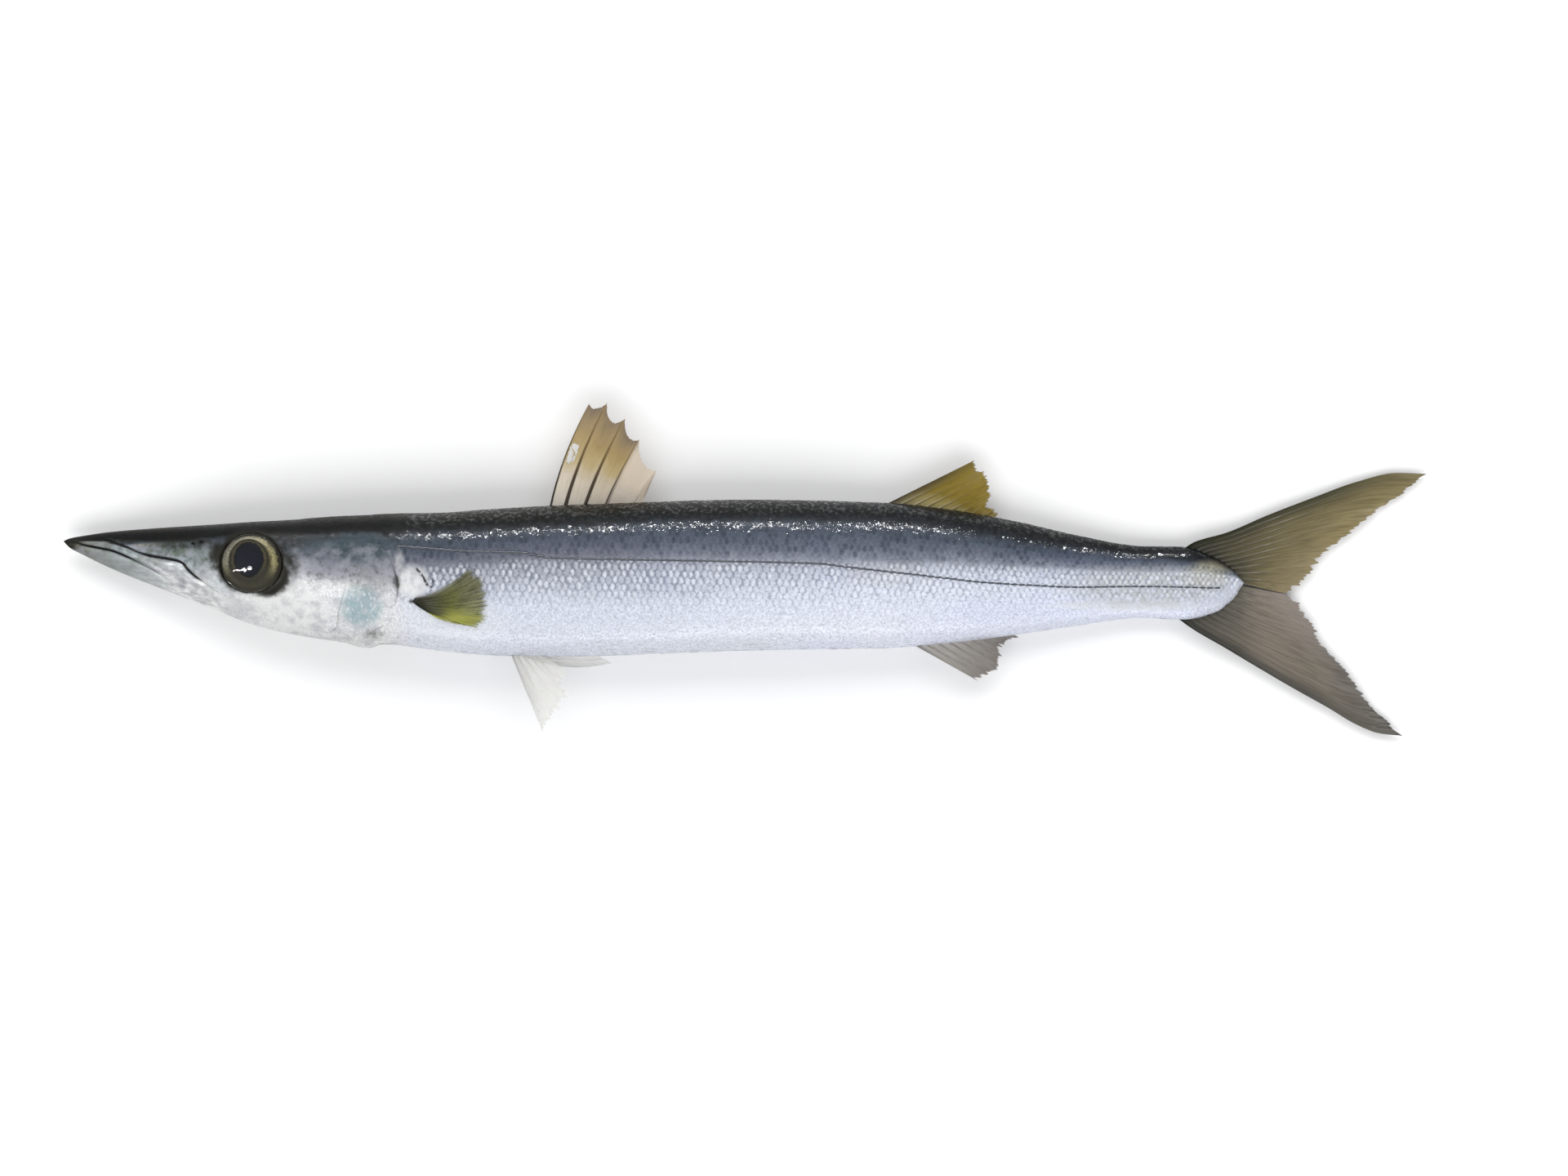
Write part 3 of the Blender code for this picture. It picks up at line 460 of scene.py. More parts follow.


# A fold with some dark paints shade into its groove, darkest along the mouth, the jaw groove and the rear
# edge of the gill cover.
FOLDS = (
    Fold(
        MOUTH_LINE, 0.36, 0.6, 1.0,
        ((0.0, 0.4), (0.1, 0.7), (0.18, 1.0), (0.4, 1.0), (0.5, 0.6), (0.65, 0.4), (0.78, 0.15),
         (1.0, 0.12))),
    Fold(
        JAW_GROOVE, 0.42, 0.5, 1.0,
        ((0.0, 0.8), (0.14, 0.95), (0.27, 0.7), (0.4, 1.0), (0.7, 1.0), (0.84, 0.85), (0.92, 0.5),
         (1.0, 0.35))),
    Fold(JAW_END, 0.4, 0.3, 0.15),
    Fold(((22.4, 5.1), (27.7, 2.1), (32.2, -1.1), (34.1, -3.5)), 0.7, 0.2, 0.0),
    Fold(
        ((40.5, -2.8), (43.3, -4.4), (44.7, -5.6), (47.0, -6.6)), 0.28, 0.16, 0.4, ((0.0, 1.0), (1.0, 0.2))),
    Fold(((9.0, 10.3), (20.5, 9.7), (29.3, 9.3), (38.0, 9.0), (43.0, 9.6)), 0.5, 0.14, 0.0),
    Fold(((50.0, -8.6), (56.0, -10.4), (64.0, -13.2), (71.5, -15.2), (80.3, -17.0)), 0.4, 0.16, 0.1),
    Fold(((44.0, -8.0), (50.0, -10.6), (57.0, -12.6), (66.0, -15.0)), 0.35, 0.12, 0.06),
    Fold(
        ((78.2, 5.0), (77.6, 1.8), (77.3, -2.6), (76.1, -6.5), (75.2, -9.8), (74.7, -13.2), (71.5, -14.9),
         (66.0, -13.9)), 0.36, 0.17, 0.42, ((0.0, 0.1), (0.3, 0.8), (0.6, 1.0), (1.0, 0.1))),
    Fold(
        ((86.4, 9.5), (88.2, 7.0), (89.6, 4.2), (90.7, 1.3), (91.4, -1.8), (91.2, -4.8), (90.4, -7.5),
         (89.3, -9.5), (87.1, -12.5), (84.7, -14.4), (81.8, -15.6)), 0.45, 0.26, 0.55,
        ((0.0, 0.7), (0.2, 0.6), (0.33, 1.0), (0.5, 0.8), (0.62, 0.25), (0.85, 0.12), (1.0, 0.4))),
    Fold(((96.6, 2.4), (98.2, 0.4), (99.4, -2.0)), 0.42, 0.3, 0.75),
    Fold(((101.0, -0.3), (100.4, -2.6)), 0.4, 0.3, 0.7),
    Fold(((60.5, 7.4), (66.0, 6.6), (72.0, 7.4), (78.0, 8.6)), 0.6, 0.12, 0.0),
    Fold(((62.5, 1.2), (66.5, -2.5), (68.0, -7.0), (66.0, -11.5)), 0.5, 0.1, 0.0),
)


class Relief:
    """Folds, plates and pits of the head, as height over the plain form."""

    JAW_PROUD = 0.28
    COVER_PROUD = 0.24
    SOCKET_DEPTH = 3.4
    SOCKET_WALL = 0.93
    RIMS = ((1.1, 0.09, 0.12), (1.34, 0.16, 0.08))
    NOSTRIL_DEPTH = 0.6

    def __init__(self) -> None:
        """Round the drawn lines once, for use on every skin."""
        self.folds = [(rounded(fold.line), smooth_curve(fold.weights), fold) for fold in FOLDS]
        mouth, groove, jaw_end = (line for line, _, _ in self.folds[:3])
        self.upper_jaw = np.concatenate([groove, jaw_end, mouth[::-1]])
        self.cover = rounded(tuple(GILL_COVER) + (GILL_COVER[0],))[:-1]

    def snap(self, places: Array, reach: float) -> Array:
        """Move places that lie near the edge of the eye socket onto it.

        Args:
            places: Places seen from the side.
            reach: How far a place may move.

        Returns:
            The places, those near the edge now on it.
        """
        centre = np.array(EYE_CENTRE)
        out = oval(places, EYE_CENTRE, EYE_RADII)
        near = np.abs(out - 1.0) * EYE_RADII[1] < reach
        onto = centre + (places - centre) / np.maximum(out, 1e-6)[:, None]
        return np.where(near[:, None], onto, places)

    def height(self, places: Array) -> Array:
        """Height of the skin over the plain form.

        Args:
            places: Places seen from the side.

        Returns:
            Heights in millimetres, less than nothing in grooves and pits.
        """
        rise = np.zeros(len(places))
        for line, weight, fold in self.folds:
            gap, share = line_distance(places, line)
            rise -= fold.depth * weight(share) * bell(gap, fold.width)
        rise += self.JAW_PROUD * ease(depth_inside(places, self.upper_jaw), 0.0, 0.9)
        cover = depth_inside(places, self.cover)
        rise += self.COVER_PROUD * ease(cover, -0.2, 0.35) * ease(places[:, 0], 77.0, 83.0)
        out = oval(places, EYE_CENTRE, EYE_RADII)
        for where, width, proud in self.RIMS:
            rise += proud * bell(out - where, width)
        wall = -self.SOCKET_DEPTH * ease(out, 1.0, self.SOCKET_WALL) + rise * (out > self.SOCKET_WALL)
        rise = np.where(out < 1.0, wall, rise)
        for x, y, radius in NOSTRILS:
            pit = oval(places, (x, y), (radius * 1.5, radius))
            rise += 0.14 * bell(pit - 1.5, 0.4) - self.NOSTRIL_DEPTH * ease(pit, 1.1, 0.4)
        return rise

    def crease(self, places: Array) -> Array:
        """Painted shade of the folds and the nostrils.

        Args:
            places: Places seen from the side.

        Returns:
            Shares between 0 and 1.
        """
        dark = np.zeros(len(places))
        for line, weight, fold in self.folds:
            if fold.dark > 0.0:
                gap, share = line_distance(places, line)
                part = weight(share)
                dark = np.maximum(dark, fold.dark * part * bell(gap, fold.width * (0.45 + 0.45 * part)))
        for x, y, radius in NOSTRILS:
            dark = np.maximum(dark, 0.6 * ease(oval(places, (x, y), (radius * 1.5, radius)), 1.2, 0.5))
        return dark


# Edges of the markings: the foot of the dark back, of the slate flank and of the bright silver
BACK_EDGE = (
    (0.0, 9.7), (5.5, 9.7), (14.3, 10.1), (27.5, 10.1), (41.1, 11.2), (49.5, 12.1), (60.5, 12.3),
    (91.3, 12.3), (112.2, 12.3), (137.5, 13.4), (168.3, 15.0), (203.5, 15.0), (225.5, 13.9), (247.5, 11.2),
    (269.5, 8.1), (291.5, 5.5), (306.9, 4.0), (317.9, 1.2))
FLANK_EDGE = (
    (0.0, 8.6), (5.0, 8.4), (14.0, 8.6), (27.5, 7.6), (41.0, 6.2), (52.0, 4.0), (60.5, 4.0), (71.5, 0.8),
    (80.0, 0.6), (91.3, 1.6), (112.2, 3.2), (131.6, 4.6), (168.3, 4.3), (203.5, 3.8), (225.5, 3.3),
    (247.5, 3.0), (269.5, 2.2), (291.5, 1.3), (306.9, 1.6), (317.9, 0.0))
SILVER_EDGE = (
    (0.0, 6.6), (14.0, 4.6), (27.5, -1.0), (41.0, -6.0), (52.0, -4.5), (75.0, -3.5), (91.3, -6.6),
    (137.5, -7.0), (168.0, -8.1), (203.5, -8.1), (247.5, -7.5), (280.0, -7.0), (306.9, -6.6), (317.9, -1.6))


@dataclass(frozen=True)
class Oval:
    """Soft oval of one marking: its centre, radii and strength, and the share of it that is full."""

    x: float
    y: float
    long: float
    tall: float
    share: float
    core: float = 0.35


PATCHES = {name: [Oval(*row) for row in rows] for name, rows in {
    "dusk": ((51.6, 4.4, 11.0, 9.6, 1.0, 0.8), (56.2, 0.9, 7.4, 6.9, 1.0, 0.7),
        (44.6, 6.2, 6.4, 5.6, 1.0, 0.4), (61.2, 3.6, 4.8, 6.2, 0.85, 0.3), (60.5, 9.6, 9.0, 4.0, 0.6),
        (91.1, -1.2, 1.5, 2.8, 0.6), (84.6, -14.9, 4.8, 2.4, 0.42, 0.1), (95.4, -6.2, 1.6, 0.8, 0.7),
        (136.0, 18.6, 8.0, 1.2, 0.6), (16.0, 9.7, 6.0, 1.0, 0.7), (34.0, 9.4, 14.0, 2.0, 0.6)),
    "teal": ((81.0, 8.4, 12.0, 5.0, 1.0), (99.0, 8.4, 12.0, 3.4, 0.55), (66.0, 7.6, 8.0, 3.4, 0.35)),
    "moss": ((31.0, 7.4, 15.0, 3.2, 1.0), (38.6, 5.0, 6.6, 6.4, 1.0), (24.0, 4.4, 9.0, 2.0, 0.65),
        (61.0, -1.0, 5.0, 4.0, 0.3), (84.0, -1.0, 8.0, 5.5, 0.3), (12.0, 6.9, 10.0, 1.8, 0.4)),
    "ash": ((294.0, -2.4, 34.0, 7.6, 0.85), (63.0, 3.0, 6.0, 5.0, 0.3)),
    # Whitish marks: partly the skin's own white, partly painted highlights, as behind the gill cover and
    # along the lower rear flank.
    "gleam": ((62.0, -8.5, 17.0, 8.5, 0.9), (95.4, -1.0, 5.4, 5.6, 0.85, 0.5), (91.8, 4.6, 1.7, 4.2, 0.4),
        (45.0, -6.0, 10.0, 4.2, 0.55), (37.6, -3.6, 4.6, 2.8, 0.95), (288.0, -7.4, 30.0, 2.0, 0.6),
        (106.0, -11.0, 18.0, 9.0, 0.4)),
    "green": ((81.6, -7.6, 7.4, 7.0, 1.0, 0.5), (36.0, 4.6, 7.0, 4.6, 0.55), (20.0, 7.2, 9.0, 2.0, 0.5),
        (44.0, -1.0, 6.0, 6.0, 0.3)),
    "lilac": ((23.5, 7.8, 6.5, 1.9, 0.9), (27.5, 2.4, 6.5, 1.7, 0.5), (32.6, -1.6, 1.6, 2.8, 0.6),
        (70.0, 5.0, 10.0, 4.5, 0.3), (49.0, -8.0, 7.0, 2.6, 0.45), (86.0, -1.0, 5.0, 5.0, 0.25)),
    "warm": ((309.0, 0.6, 8.0, 5.0, 0.8), (24.0, 9.0, 6.5, 0.7, 0.6), (2.0, 8.9, 3.0, 1.3, 0.8),
        (222.0, 0.6, 17.0, 4.6, 0.2)),
}.items()}
FACE_END = 104.0
EYE_CLEAR = 0.9
JAW_LINE = ((0.0, 10.2), (12.0, 10.0), (24.0, 6.2), (32.0, 5.0), (41.0, -3.0), (48.0, -7.0))


class Markings:
    """Where the colours, painted highlights and painted fold shade of the fish lie, worked out from places
    seen from the side.
    """

    SNOUT_LEVEL = 9.8
    SNOUT_FADE = (7.5, 3.4)
    JAW_FADE = (48.0, 38.0)
    HEAD_FADE = (98.0, 86.0)
    CHUNK = 50000

    def __init__(self, form: BodyForm, relief: Relief) -> None:
        """Keep the form and the head's lines, and make the edge curves.

        Args:
            form: Form of the fish.
            relief: Relief whose lines are marked.
        """
        self.form = form
        self.relief = relief
        self.edges = [smooth_curve(line) for line in (SILVER_EDGE, FLANK_EDGE, BACK_EDGE)]
        self.jaw_line = smooth_curve(JAW_LINE)

    def tone(self, places: Array) -> Array:
        """Place from the belly (0) over silver (0.25), slate (0.5) and back (0.75) to the back's top (1)."""
        x, y = places[:, 0], places[:, 1]
        knots = [self.form.at("bottom", x)] + [edge(x) for edge in self.edges] + [self.form.at("top", x)]
        tone = np.zeros(len(x))
        for low, high in zip(knots, knots[1:]):
            tone += 0.25 * np.clip((y - low) / np.maximum(high - low, 0.2), 0.0, 1.0)
        return tone

    def patches(self, places: Array, name: str) -> Array:
        """Strongest of the soft ovals of one marking."""
        marks = [
            mark.share * ease(oval(places, (mark.x, mark.y), (mark.long, mark.tall)), 1.0, mark.core)
            for mark in PATCHES[name]]
        return np.max(marks, axis=0)

    def all(self, places: Array) -> dict[str, Array]:
        """Every marking at some places.

        Args:
            places: Places seen from the side.

        Returns:
            Named shares for the materials.
        """
        x, y = places[:, 0], places[:, 1]
        marks = {name: self.patches(places, name) for name in PATCHES}
        marks["dusk"] = np.maximum(
            marks["dusk"], ease(x + 1.2 * np.abs(y - self.SNOUT_LEVEL), *self.SNOUT_FADE))
        marks["dusk"] *= oval(places, EYE_CENTRE, EYE_RADII) > EYE_CLEAR
        marks["jaw"] = ease(self.jaw_line(x) - y, -0.1, 0.35) * ease(x, *self.JAW_FADE)
        marks["head"] = ease(x, *self.HEAD_FADE)
        near = x < FACE_END
        # Painted shade of the folds and the nostrils.
        marks["crease"] = np.zeros(len(x))
        marks["crease"][near] = self.relief.crease(places[near])
        marks["tone"] = self.tone(places)
        return marks

    def store(self, mesh: Mesh, places: Array) -> None:
        """Write every marking to a mesh, for its material to read.

        Args:
            mesh: Mesh to mark.
            places: Each vertex as seen from the side, in fish millimetres.
        """
        parts = [self.all(part) for part in np.array_split(places, 1 + len(places) // self.CHUNK)]
        for name in parts[0]:
            store_values(mesh, name, np.concatenate([part[name] for part in parts]))


# Mesh helpers

def store_values(mesh: Mesh, name: str, values: Array) -> None:
    """Write one number for each vertex of a mesh as a named attribute."""
    layer = mesh.attributes.get(name) or mesh.attributes.new(name, "FLOAT", "POINT")
    layer.data.foreach_set("value", np.ascontiguousarray(values, np.float32))


def store_vectors(mesh: Mesh, name: str, values: Array) -> None:
    """Write one vector for each vertex of a mesh as a named attribute."""
    layer = mesh.attributes.new(name, "FLOAT_VECTOR", "POINT")
    layer.data.foreach_set("vector", np.ascontiguousarray(values, np.float32).ravel())


def store_map(mesh: Mesh, name: str, marks: Array) -> None:
    """Write a place on a flat map for each vertex of a mesh."""
    layer = mesh.uv_layers.new(name=name)
    corners = np.empty(len(mesh.loops), np.int32)
    mesh.loops.foreach_get("vertex_index", corners)
    layer.data.foreach_set("uv", np.ascontiguousarray(marks[corners], np.float32).ravel())


def mesh_from(name: str, points: Array, faces: list) -> Mesh:
    """Make a smooth mesh from points in metres and faces told by vertex numbers."""
    mesh = bpy.data.meshes.new(name)
    mesh.from_pydata(points.tolist(), [], faces)
    mesh.shade_smooth()
    return mesh


def linked(name: str, data: bpy.types.ID) -> Piece:
    """Make an object from its data and link it into the scene."""
    item = bpy.data.objects.new(name, data)
    bpy.context.scene.collection.objects.link(item)
    return item


def add_piece(name: str, mesh: Mesh, material: Material) -> Piece:
    """Link a finished mesh into the scene as a piece with its material."""
    mesh.materials.clear()
    mesh.materials.append(material)
    return linked(name, mesh)


def hand_over(piece: Piece, slot: str, *nodes: str) -> None:
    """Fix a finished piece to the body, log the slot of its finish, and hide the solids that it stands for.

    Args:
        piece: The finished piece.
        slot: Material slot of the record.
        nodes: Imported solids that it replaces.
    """
    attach(piece, BODY)
    if nodes:
        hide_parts(*nodes)
    LOG.info("%s: %d faces, slot %s", piece.name, len(piece.data.polygons), slot)


def tube_faces(rows: int, columns: int) -> Array:
    """Squares of a grid that closes on itself round its columns."""
    i, j = np.meshgrid(np.arange(rows - 1), np.arange(columns), indexing="ij")
    k = (j + 1) % columns
    corners = (i * columns + j, (i + 1) * columns + j, (i + 1) * columns + k, i * columns + k)
    return np.stack([corner.ravel() for corner in corners], axis=1)


# Shader helpers

class Signal:
    """Output of a node, which takes sums, ranges and mixes as if it were a number or a colour."""

    def __init__(self, desk: Desk, socket: bpy.types.NodeSocket) -> None:
        """Keep the socket, and the desk on which it is used."""
        self.desk = desk
        self.socket = socket

    def __add__(self, other: Signal | float) -> Signal:
        """Sum."""
        return self.desk.math("ADD", self, other)

    def __sub__(self, other: Signal | float) -> Signal:
        """Difference."""
        return self.desk.math("SUBTRACT", self, other)

    def __rsub__(self, other: float) -> Signal:
        """Difference from a plain number."""
        return self.desk.math("SUBTRACT", other, self)

    def __mul__(self, other: Signal | float) -> Signal:
        """Product."""
        return self.desk.math("MULTIPLY", self, other)

    def spread(self, low: float, high: float, out_low: float = 0.0, out_high: float = 1.0) -> Signal:
        """Carry the value smoothly from one range to another."""
        inputs = {0: self, 1: low, 2: high, 3: out_low, 4: out_high}
        return self.desk.out("MapRange", inputs, interpolation_type="SMOOTHSTEP")

    def mix(self, share: object, other: object, blend: str = "MIX") -> Signal:
        """Mix the colour with another."""
        return self.desk.mix(share, self, other, blend)


class Desk:
    """Lays the nodes of one tree and links them."""

    def __init__(self, tree: bpy.types.NodeTree) -> None:
        """Keep the tree."""
        self.tree = tree

    def add(self, kind: str, inputs: dict | None = None, **settings: object) -> bpy.types.Node:
        """Add a node.

        Args:
            kind: Type of the node. A shader node's goes without its ShaderNode prefix.
            inputs: Values or signals for its inputs, by name or place.
            settings: Properties of the node.

        Returns:
            The node.
        """
        node = self.tree.nodes.new(kind if "Node" in kind else "ShaderNode" + kind)
        for key, value in settings.items():
            setattr(node, key, value)
        for key, value in (inputs or {}).items():
            self.feed(node.inputs[key], value)
        return node

    def out(self, kind: str, inputs: dict | None = None, port: int | str = 0, **settings: object) -> Signal:
        """Add a node and give what comes out of one of its ports."""
        return Signal(self, self.add(kind, inputs, **settings).outputs[port])

    def feed(self, socket: bpy.types.NodeSocket, value: object) -> None:
        """Set an input to a value, or link it to a signal."""
        if isinstance(value, Signal):
            self.tree.links.new(value.socket, socket)
        elif isinstance(value, tuple) and len(value) == 3 and socket.type == "RGBA":
            socket.default_value = (*value, 1.0)
        else:
            socket.default_value = value

    def math(self, operation: str, first: object, second: object = 0.0, clamp: bool = False) -> Signal:
        """Result of one sum."""
        return self.out("Math", {0: first, 1: second}, operation=operation, use_clamp=clamp)

    def parts(self, vector: Signal) -> list[Signal]:
        """The three parts of a vector."""
        return [Signal(self, socket) for socket in self.add("SeparateXYZ", {0: vector}).outputs]

    def mix(self, share: object, first: object, second: object, blend: str = "MIX") -> Signal:
        """Mix of two colours."""
        inputs = {0: share, 6: first, 7: second}
        return self.out("Mix", inputs, 2, data_type="RGBA", blend_type=blend)


class Bench(Desk):
    """Puts the shader nodes of one material together."""

    def __init__(self, name: str) -> None:
        """Start a material with nothing but its output."""
        self.material = bpy.data.materials.new(name)
        self.material.use_nodes = True
        super().__init__(self.material.node_tree)
        self.tree.nodes.clear()
        self.output = self.add("OutputMaterial")

    def value(self, name: str) -> Signal:
        """Number that the mesh carries under a name."""
        return self.out("Attribute", None, "Fac", attribute_name=name)

    def place(self) -> Signal:
        """Object coordinates."""
        return self.out("TexCoord", None, "Object")

    def noise(
            self, scale: float, detail: float = 3.0, stretch: tuple | None = None,
            vector: Signal | None = None) -> Signal:
        """Cloudy noise between 0 and 1.

        Args:
            scale: Clouds in a metre, or in one unit of the vector.
            detail: How many finer layers it has.
            stretch: Scale along each axis.
            vector: Where it is read, or nothing for the object's coordinates.

        Returns:
            The noise.
        """
        source = vector or self.place()
        if stretch:
            source = self.out("Mapping", {"Vector": source, "Scale": stretch})
        return self.out("TexNoise", {"Vector": source, "Scale": scale, "Detail": detail, "Roughness": 0.55})

    def ramp(self, value: Signal, stops: Sequence[tuple[float, ...]]) -> Signal:
        """Colour between stops, each told by its place and its red, green and blue."""
        node = self.add("ValToRGB", {"Fac": value})
        items = node.color_ramp.elements
        while len(items) < len(stops):
            items.new(0.5)
        for item, (position, *_) in zip(items, stops):
            item.position = position
        for item, (_, *colour) in zip(items, stops):
            item.color = (*colour, 1.0)
        return Signal(self, node.outputs[0])

    def length(self, vector: Signal) -> Signal:
        """Length of a vector."""
        return self.out("VectorMath", {0: vector}, "Value", operation="LENGTH")

    def bump(self, strength: float, distance: float, height: Signal) -> Signal:
        """Normals of a skin with small heights, at most the distance in metres."""
        return self.out("Bump", {"Strength": strength, "Distance": distance, "Height": height})

    def plain(self, colour: object, roughness: object, **inputs: object) -> Signal:
        """Principled surface, with the names of its other inputs written with underscores."""
        named = {key.replace("_", " "): value for key, value in inputs.items()}
        return self.out("BsdfPrincipled", {"Base Color": colour, "Roughness": roughness, **named})

    def finish(self, shader: Signal, share: Signal | None = None) -> Material:
        """Link the surface, clear except for a share of it if one is given, and give the material."""
        if share:
            shader = self.out("MixShader", {0: share, 1: self.out("BsdfTransparent"), 2: shader})
        self.feed(self.output.inputs["Surface"], shader)
        return self.material


# Finishes

@dataclass(frozen=True)
class FleshFinish:
    """Wet, silvery skin with the fish's markings, painted highlights and painted shade in its folds, for the
    bare skin and for its scales.
    """

    name: str
    scaly: bool
    skull: bool
    fore: tuple = (
        (0.0, 0.53, 0.555, 0.62), (0.14, 0.56, 0.585, 0.66), (0.25, 0.53, 0.56, 0.64),
        (0.36, 0.38, 0.4, 0.46), (0.45, 0.28, 0.295, 0.345), (0.54, 0.15, 0.16, 0.195),
        (0.61, 0.095, 0.105, 0.14), (0.68, 0.055, 0.07, 0.098), (0.79, 0.0085, 0.011, 0.013),
        (0.87, 0.0045, 0.005, 0.0045), (1.0, 0.014, 0.0125, 0.0095))
    aft: tuple = (
        (0.0, 0.59, 0.61, 0.66), (0.14, 0.63, 0.65, 0.72), (0.25, 0.62, 0.645, 0.735),
        (0.36, 0.59, 0.615, 0.71), (0.455, 0.49, 0.515, 0.6), (0.54, 0.22, 0.235, 0.28),
        (0.61, 0.115, 0.13, 0.17), (0.68, 0.068, 0.085, 0.115), (0.79, 0.01, 0.014, 0.019),
        (0.87, 0.0045, 0.006, 0.007), (1.0, 0.0085, 0.009, 0.009))
    face: tuple = (
        (0.0, 0.56, 0.56, 0.55), (0.25, 0.66, 0.665, 0.655), (0.38, 0.55, 0.555, 0.56),
        (0.49, 0.32, 0.32, 0.35), (0.6, 0.115, 0.13, 0.155), (0.69, 0.055, 0.07, 0.084),
        (0.75, 0.0065, 0.0065, 0.0063), (0.87, 0.0045, 0.005, 0.005), (1.0, 0.02, 0.018, 0.014))
    jaw: tuple = (
        (0.0, 0.17, 0.17, 0.145), (0.25, 0.24, 0.27, 0.255), (0.5, 0.36, 0.39, 0.385),
        (0.75, 0.56, 0.58, 0.575), (1.0, 0.76, 0.78, 0.76))
    # The whitish tint is partly the skin's own white and partly painted highlight.
    tints: tuple = (
        ("green", (0.28, 0.37, 0.4)), ("lilac", (0.235, 0.225, 0.285)), ("gleam", (0.66, 0.67, 0.66)),
        ("warm", (0.4, 0.375, 0.25)), ("teal", (0.04, 0.06, 0.076)), ("ash", (0.4, 0.42, 0.425)),
        ("moss", (0.1, 0.125, 0.105)))
    dusk: Colour = (0.014, 0.0135, 0.0095)
    # Colour of the painted shade in the folds and the nostrils.
    ink: Colour = (0.0045, 0.0045, 0.005)
    heart_place: tuple = (-0.7, 0.0, 0.0)
    heart_scale: tuple = (1.95, 1.0, 0.0)
    fore_end: float = -0.055
    aft_start: float = 0.055
    roughness: float = 0.45

    def colour(self, bench: Bench) -> Signal:
        """Markings as one colour.

        Args:
            bench: Bench of the material.

        Returns:
            The colour.
        """
        cloud = bench.noise(95.0, 2.0, (0.5, 1.0, 1.0)) - 0.5
        grain = bench.noise(1700.0, 2.0) - 0.5
        tone = bench.value("tone") + cloud * 0.05
        tone = tone + grain * 0.05
        if self.scaly:
            tone = tone + bench.value("shade").spread(0.0, 1.0, -0.014, 0.014)
        along_x = bench.parts(bench.place())[0]
        rearward = along_x.spread(self.fore_end, self.aft_start)
        skull = bench.value("head")
        colour = bench.ramp(tone, self.fore).mix(rearward, bench.ramp(tone, self.aft))
        colour = colour.mix(skull, bench.ramp(tone, self.face))
        pearl = bench.noise(28.0, 2.0, (0.5, 1.0, 1.0)).spread(0.45, 0.68, 0.0, 0.4)
        colour = colour.mix(pearl, (0.93, 0.95, 1.12), "MULTIPLY")
        fleck = grain * 1.1 + 1.0
        grey = bench.out("CombineColor", {0: fleck, 1: fleck, 2: fleck})
        colour = colour.mix(1.0, grey, "MULTIPLY")
        jaw_place = along_x.spread(-0.184, -0.142)
        jaw_place = bench.math("ADD", jaw_place, cloud * 0.25, clamp=True)
        colour = colour.mix(bench.value("jaw"), bench.ramp(jaw_place, self.jaw))
        mottle = bench.noise(480.0, 4.0)
        for name, tint in self.tints:
            share = bench.value(name) * mottle.spread(0.3, 0.6, 0.5, 1.0)
            colour = colour.mix(share, tint)
        if self.skull:
            shown = skull * tone.spread(0.72, 0.64)
            upper = shown * tone.spread(0.28, 0.5)
            speck = bench.noise(620.0, 3.0).spread(0.44, 0.72, 0.0, 0.62)
            colour = colour.mix(speck * upper, (0.035, 0.045, 0.045))
            streak = bench.noise(800.0, 3.0, (0.16, 1.0, 1.0)).spread(0.42, 0.66, 0.0, 0.5)
            colour = colour.mix(streak * bench.value("jaw"), (0.17, 0.17, 0.18))
            cool = bench.noise(300.0, 4.0).spread(0.42, 0.68, 0.0, 0.5)
            colour = colour.mix(cool * shown, (0.3, 0.31, 0.345))
        dusk = bench.value("dusk")
        ragged = dusk * (1.0 - dusk)
        torn = ragged * mottle.spread(0.3, 0.65, -0.9, 0.9)
        colour = colour.mix(bench.math("ADD", dusk, torn, clamp=True), self.dusk)
        # Painted shade in the folds and the nostrils.
        return colour.mix(bench.value("crease").spread(0.12, 0.7), self.ink)

    def lattice(self, bench: Bench, colour: Signal) -> Signal:
        """Painted sheen and shade on silver scales, dark hearts on slate scales, painted glints on the gill
        cover.

        Args:
            bench: Bench of the material.
            colour: Colour of the markings.

        Returns:
            Colour with each scale drawn on it.
        """
        spot = bench.out("Attribute", None, "Vector", attribute_name="spot")
        place = {"Vector": spot, "Location": self.heart_place, "Scale": self.heart_scale}
        out = bench.length(bench.out("Mapping", place))
        tone, chance, patch = bench.value("tone"), bench.value("shade"), bench.value("green")
        ragged = (bench.noise(1300.0, 1.0) - 0.5) * 1.3
        out = out + ragged
        below = tone.spread(0.16, 0.4) * tone.spread(0.56, 0.48)
        below = below * bench.value("gleam").spread(0.5, 0.1)
        if self.skull:
            below = below * 0.1
        # Painted shade between neighbouring silver scales.
        gap = out.spread(0.8, 1.5, 0.0, 0.65) * below
        colour = colour.mix(gap, (0.47, 0.5, 0.55), "MULTIPLY")
        # Painted sheen on the hearts of silver scales, brighter on some by chance.
        painted_sheen = out.spread(1.0, 0.25) * chance.spread(0.0, 1.0, 0.05, 0.5)
        colour = colour.mix(painted_sheen * below, (0.84, 0.87, 0.93))
        above = tone.spread(0.49, 0.56) * tone.spread(0.75, 0.68)
        dull = out.spread(1.4, 0.2) * chance.spread(0.0, 1.0, 0.3, 0.8)
        colour = colour.mix(dull * above, (0.42, 0.44, 0.5), "MULTIPLY")
        # Painted glints on chance scales of the gill cover's patch.
        glint = chance.spread(0.5, 0.8, 0.0, 0.4) * out.spread(1.1, 0.5)
        return colour.mix(glint * patch, (0.66, 0.7, 0.72))

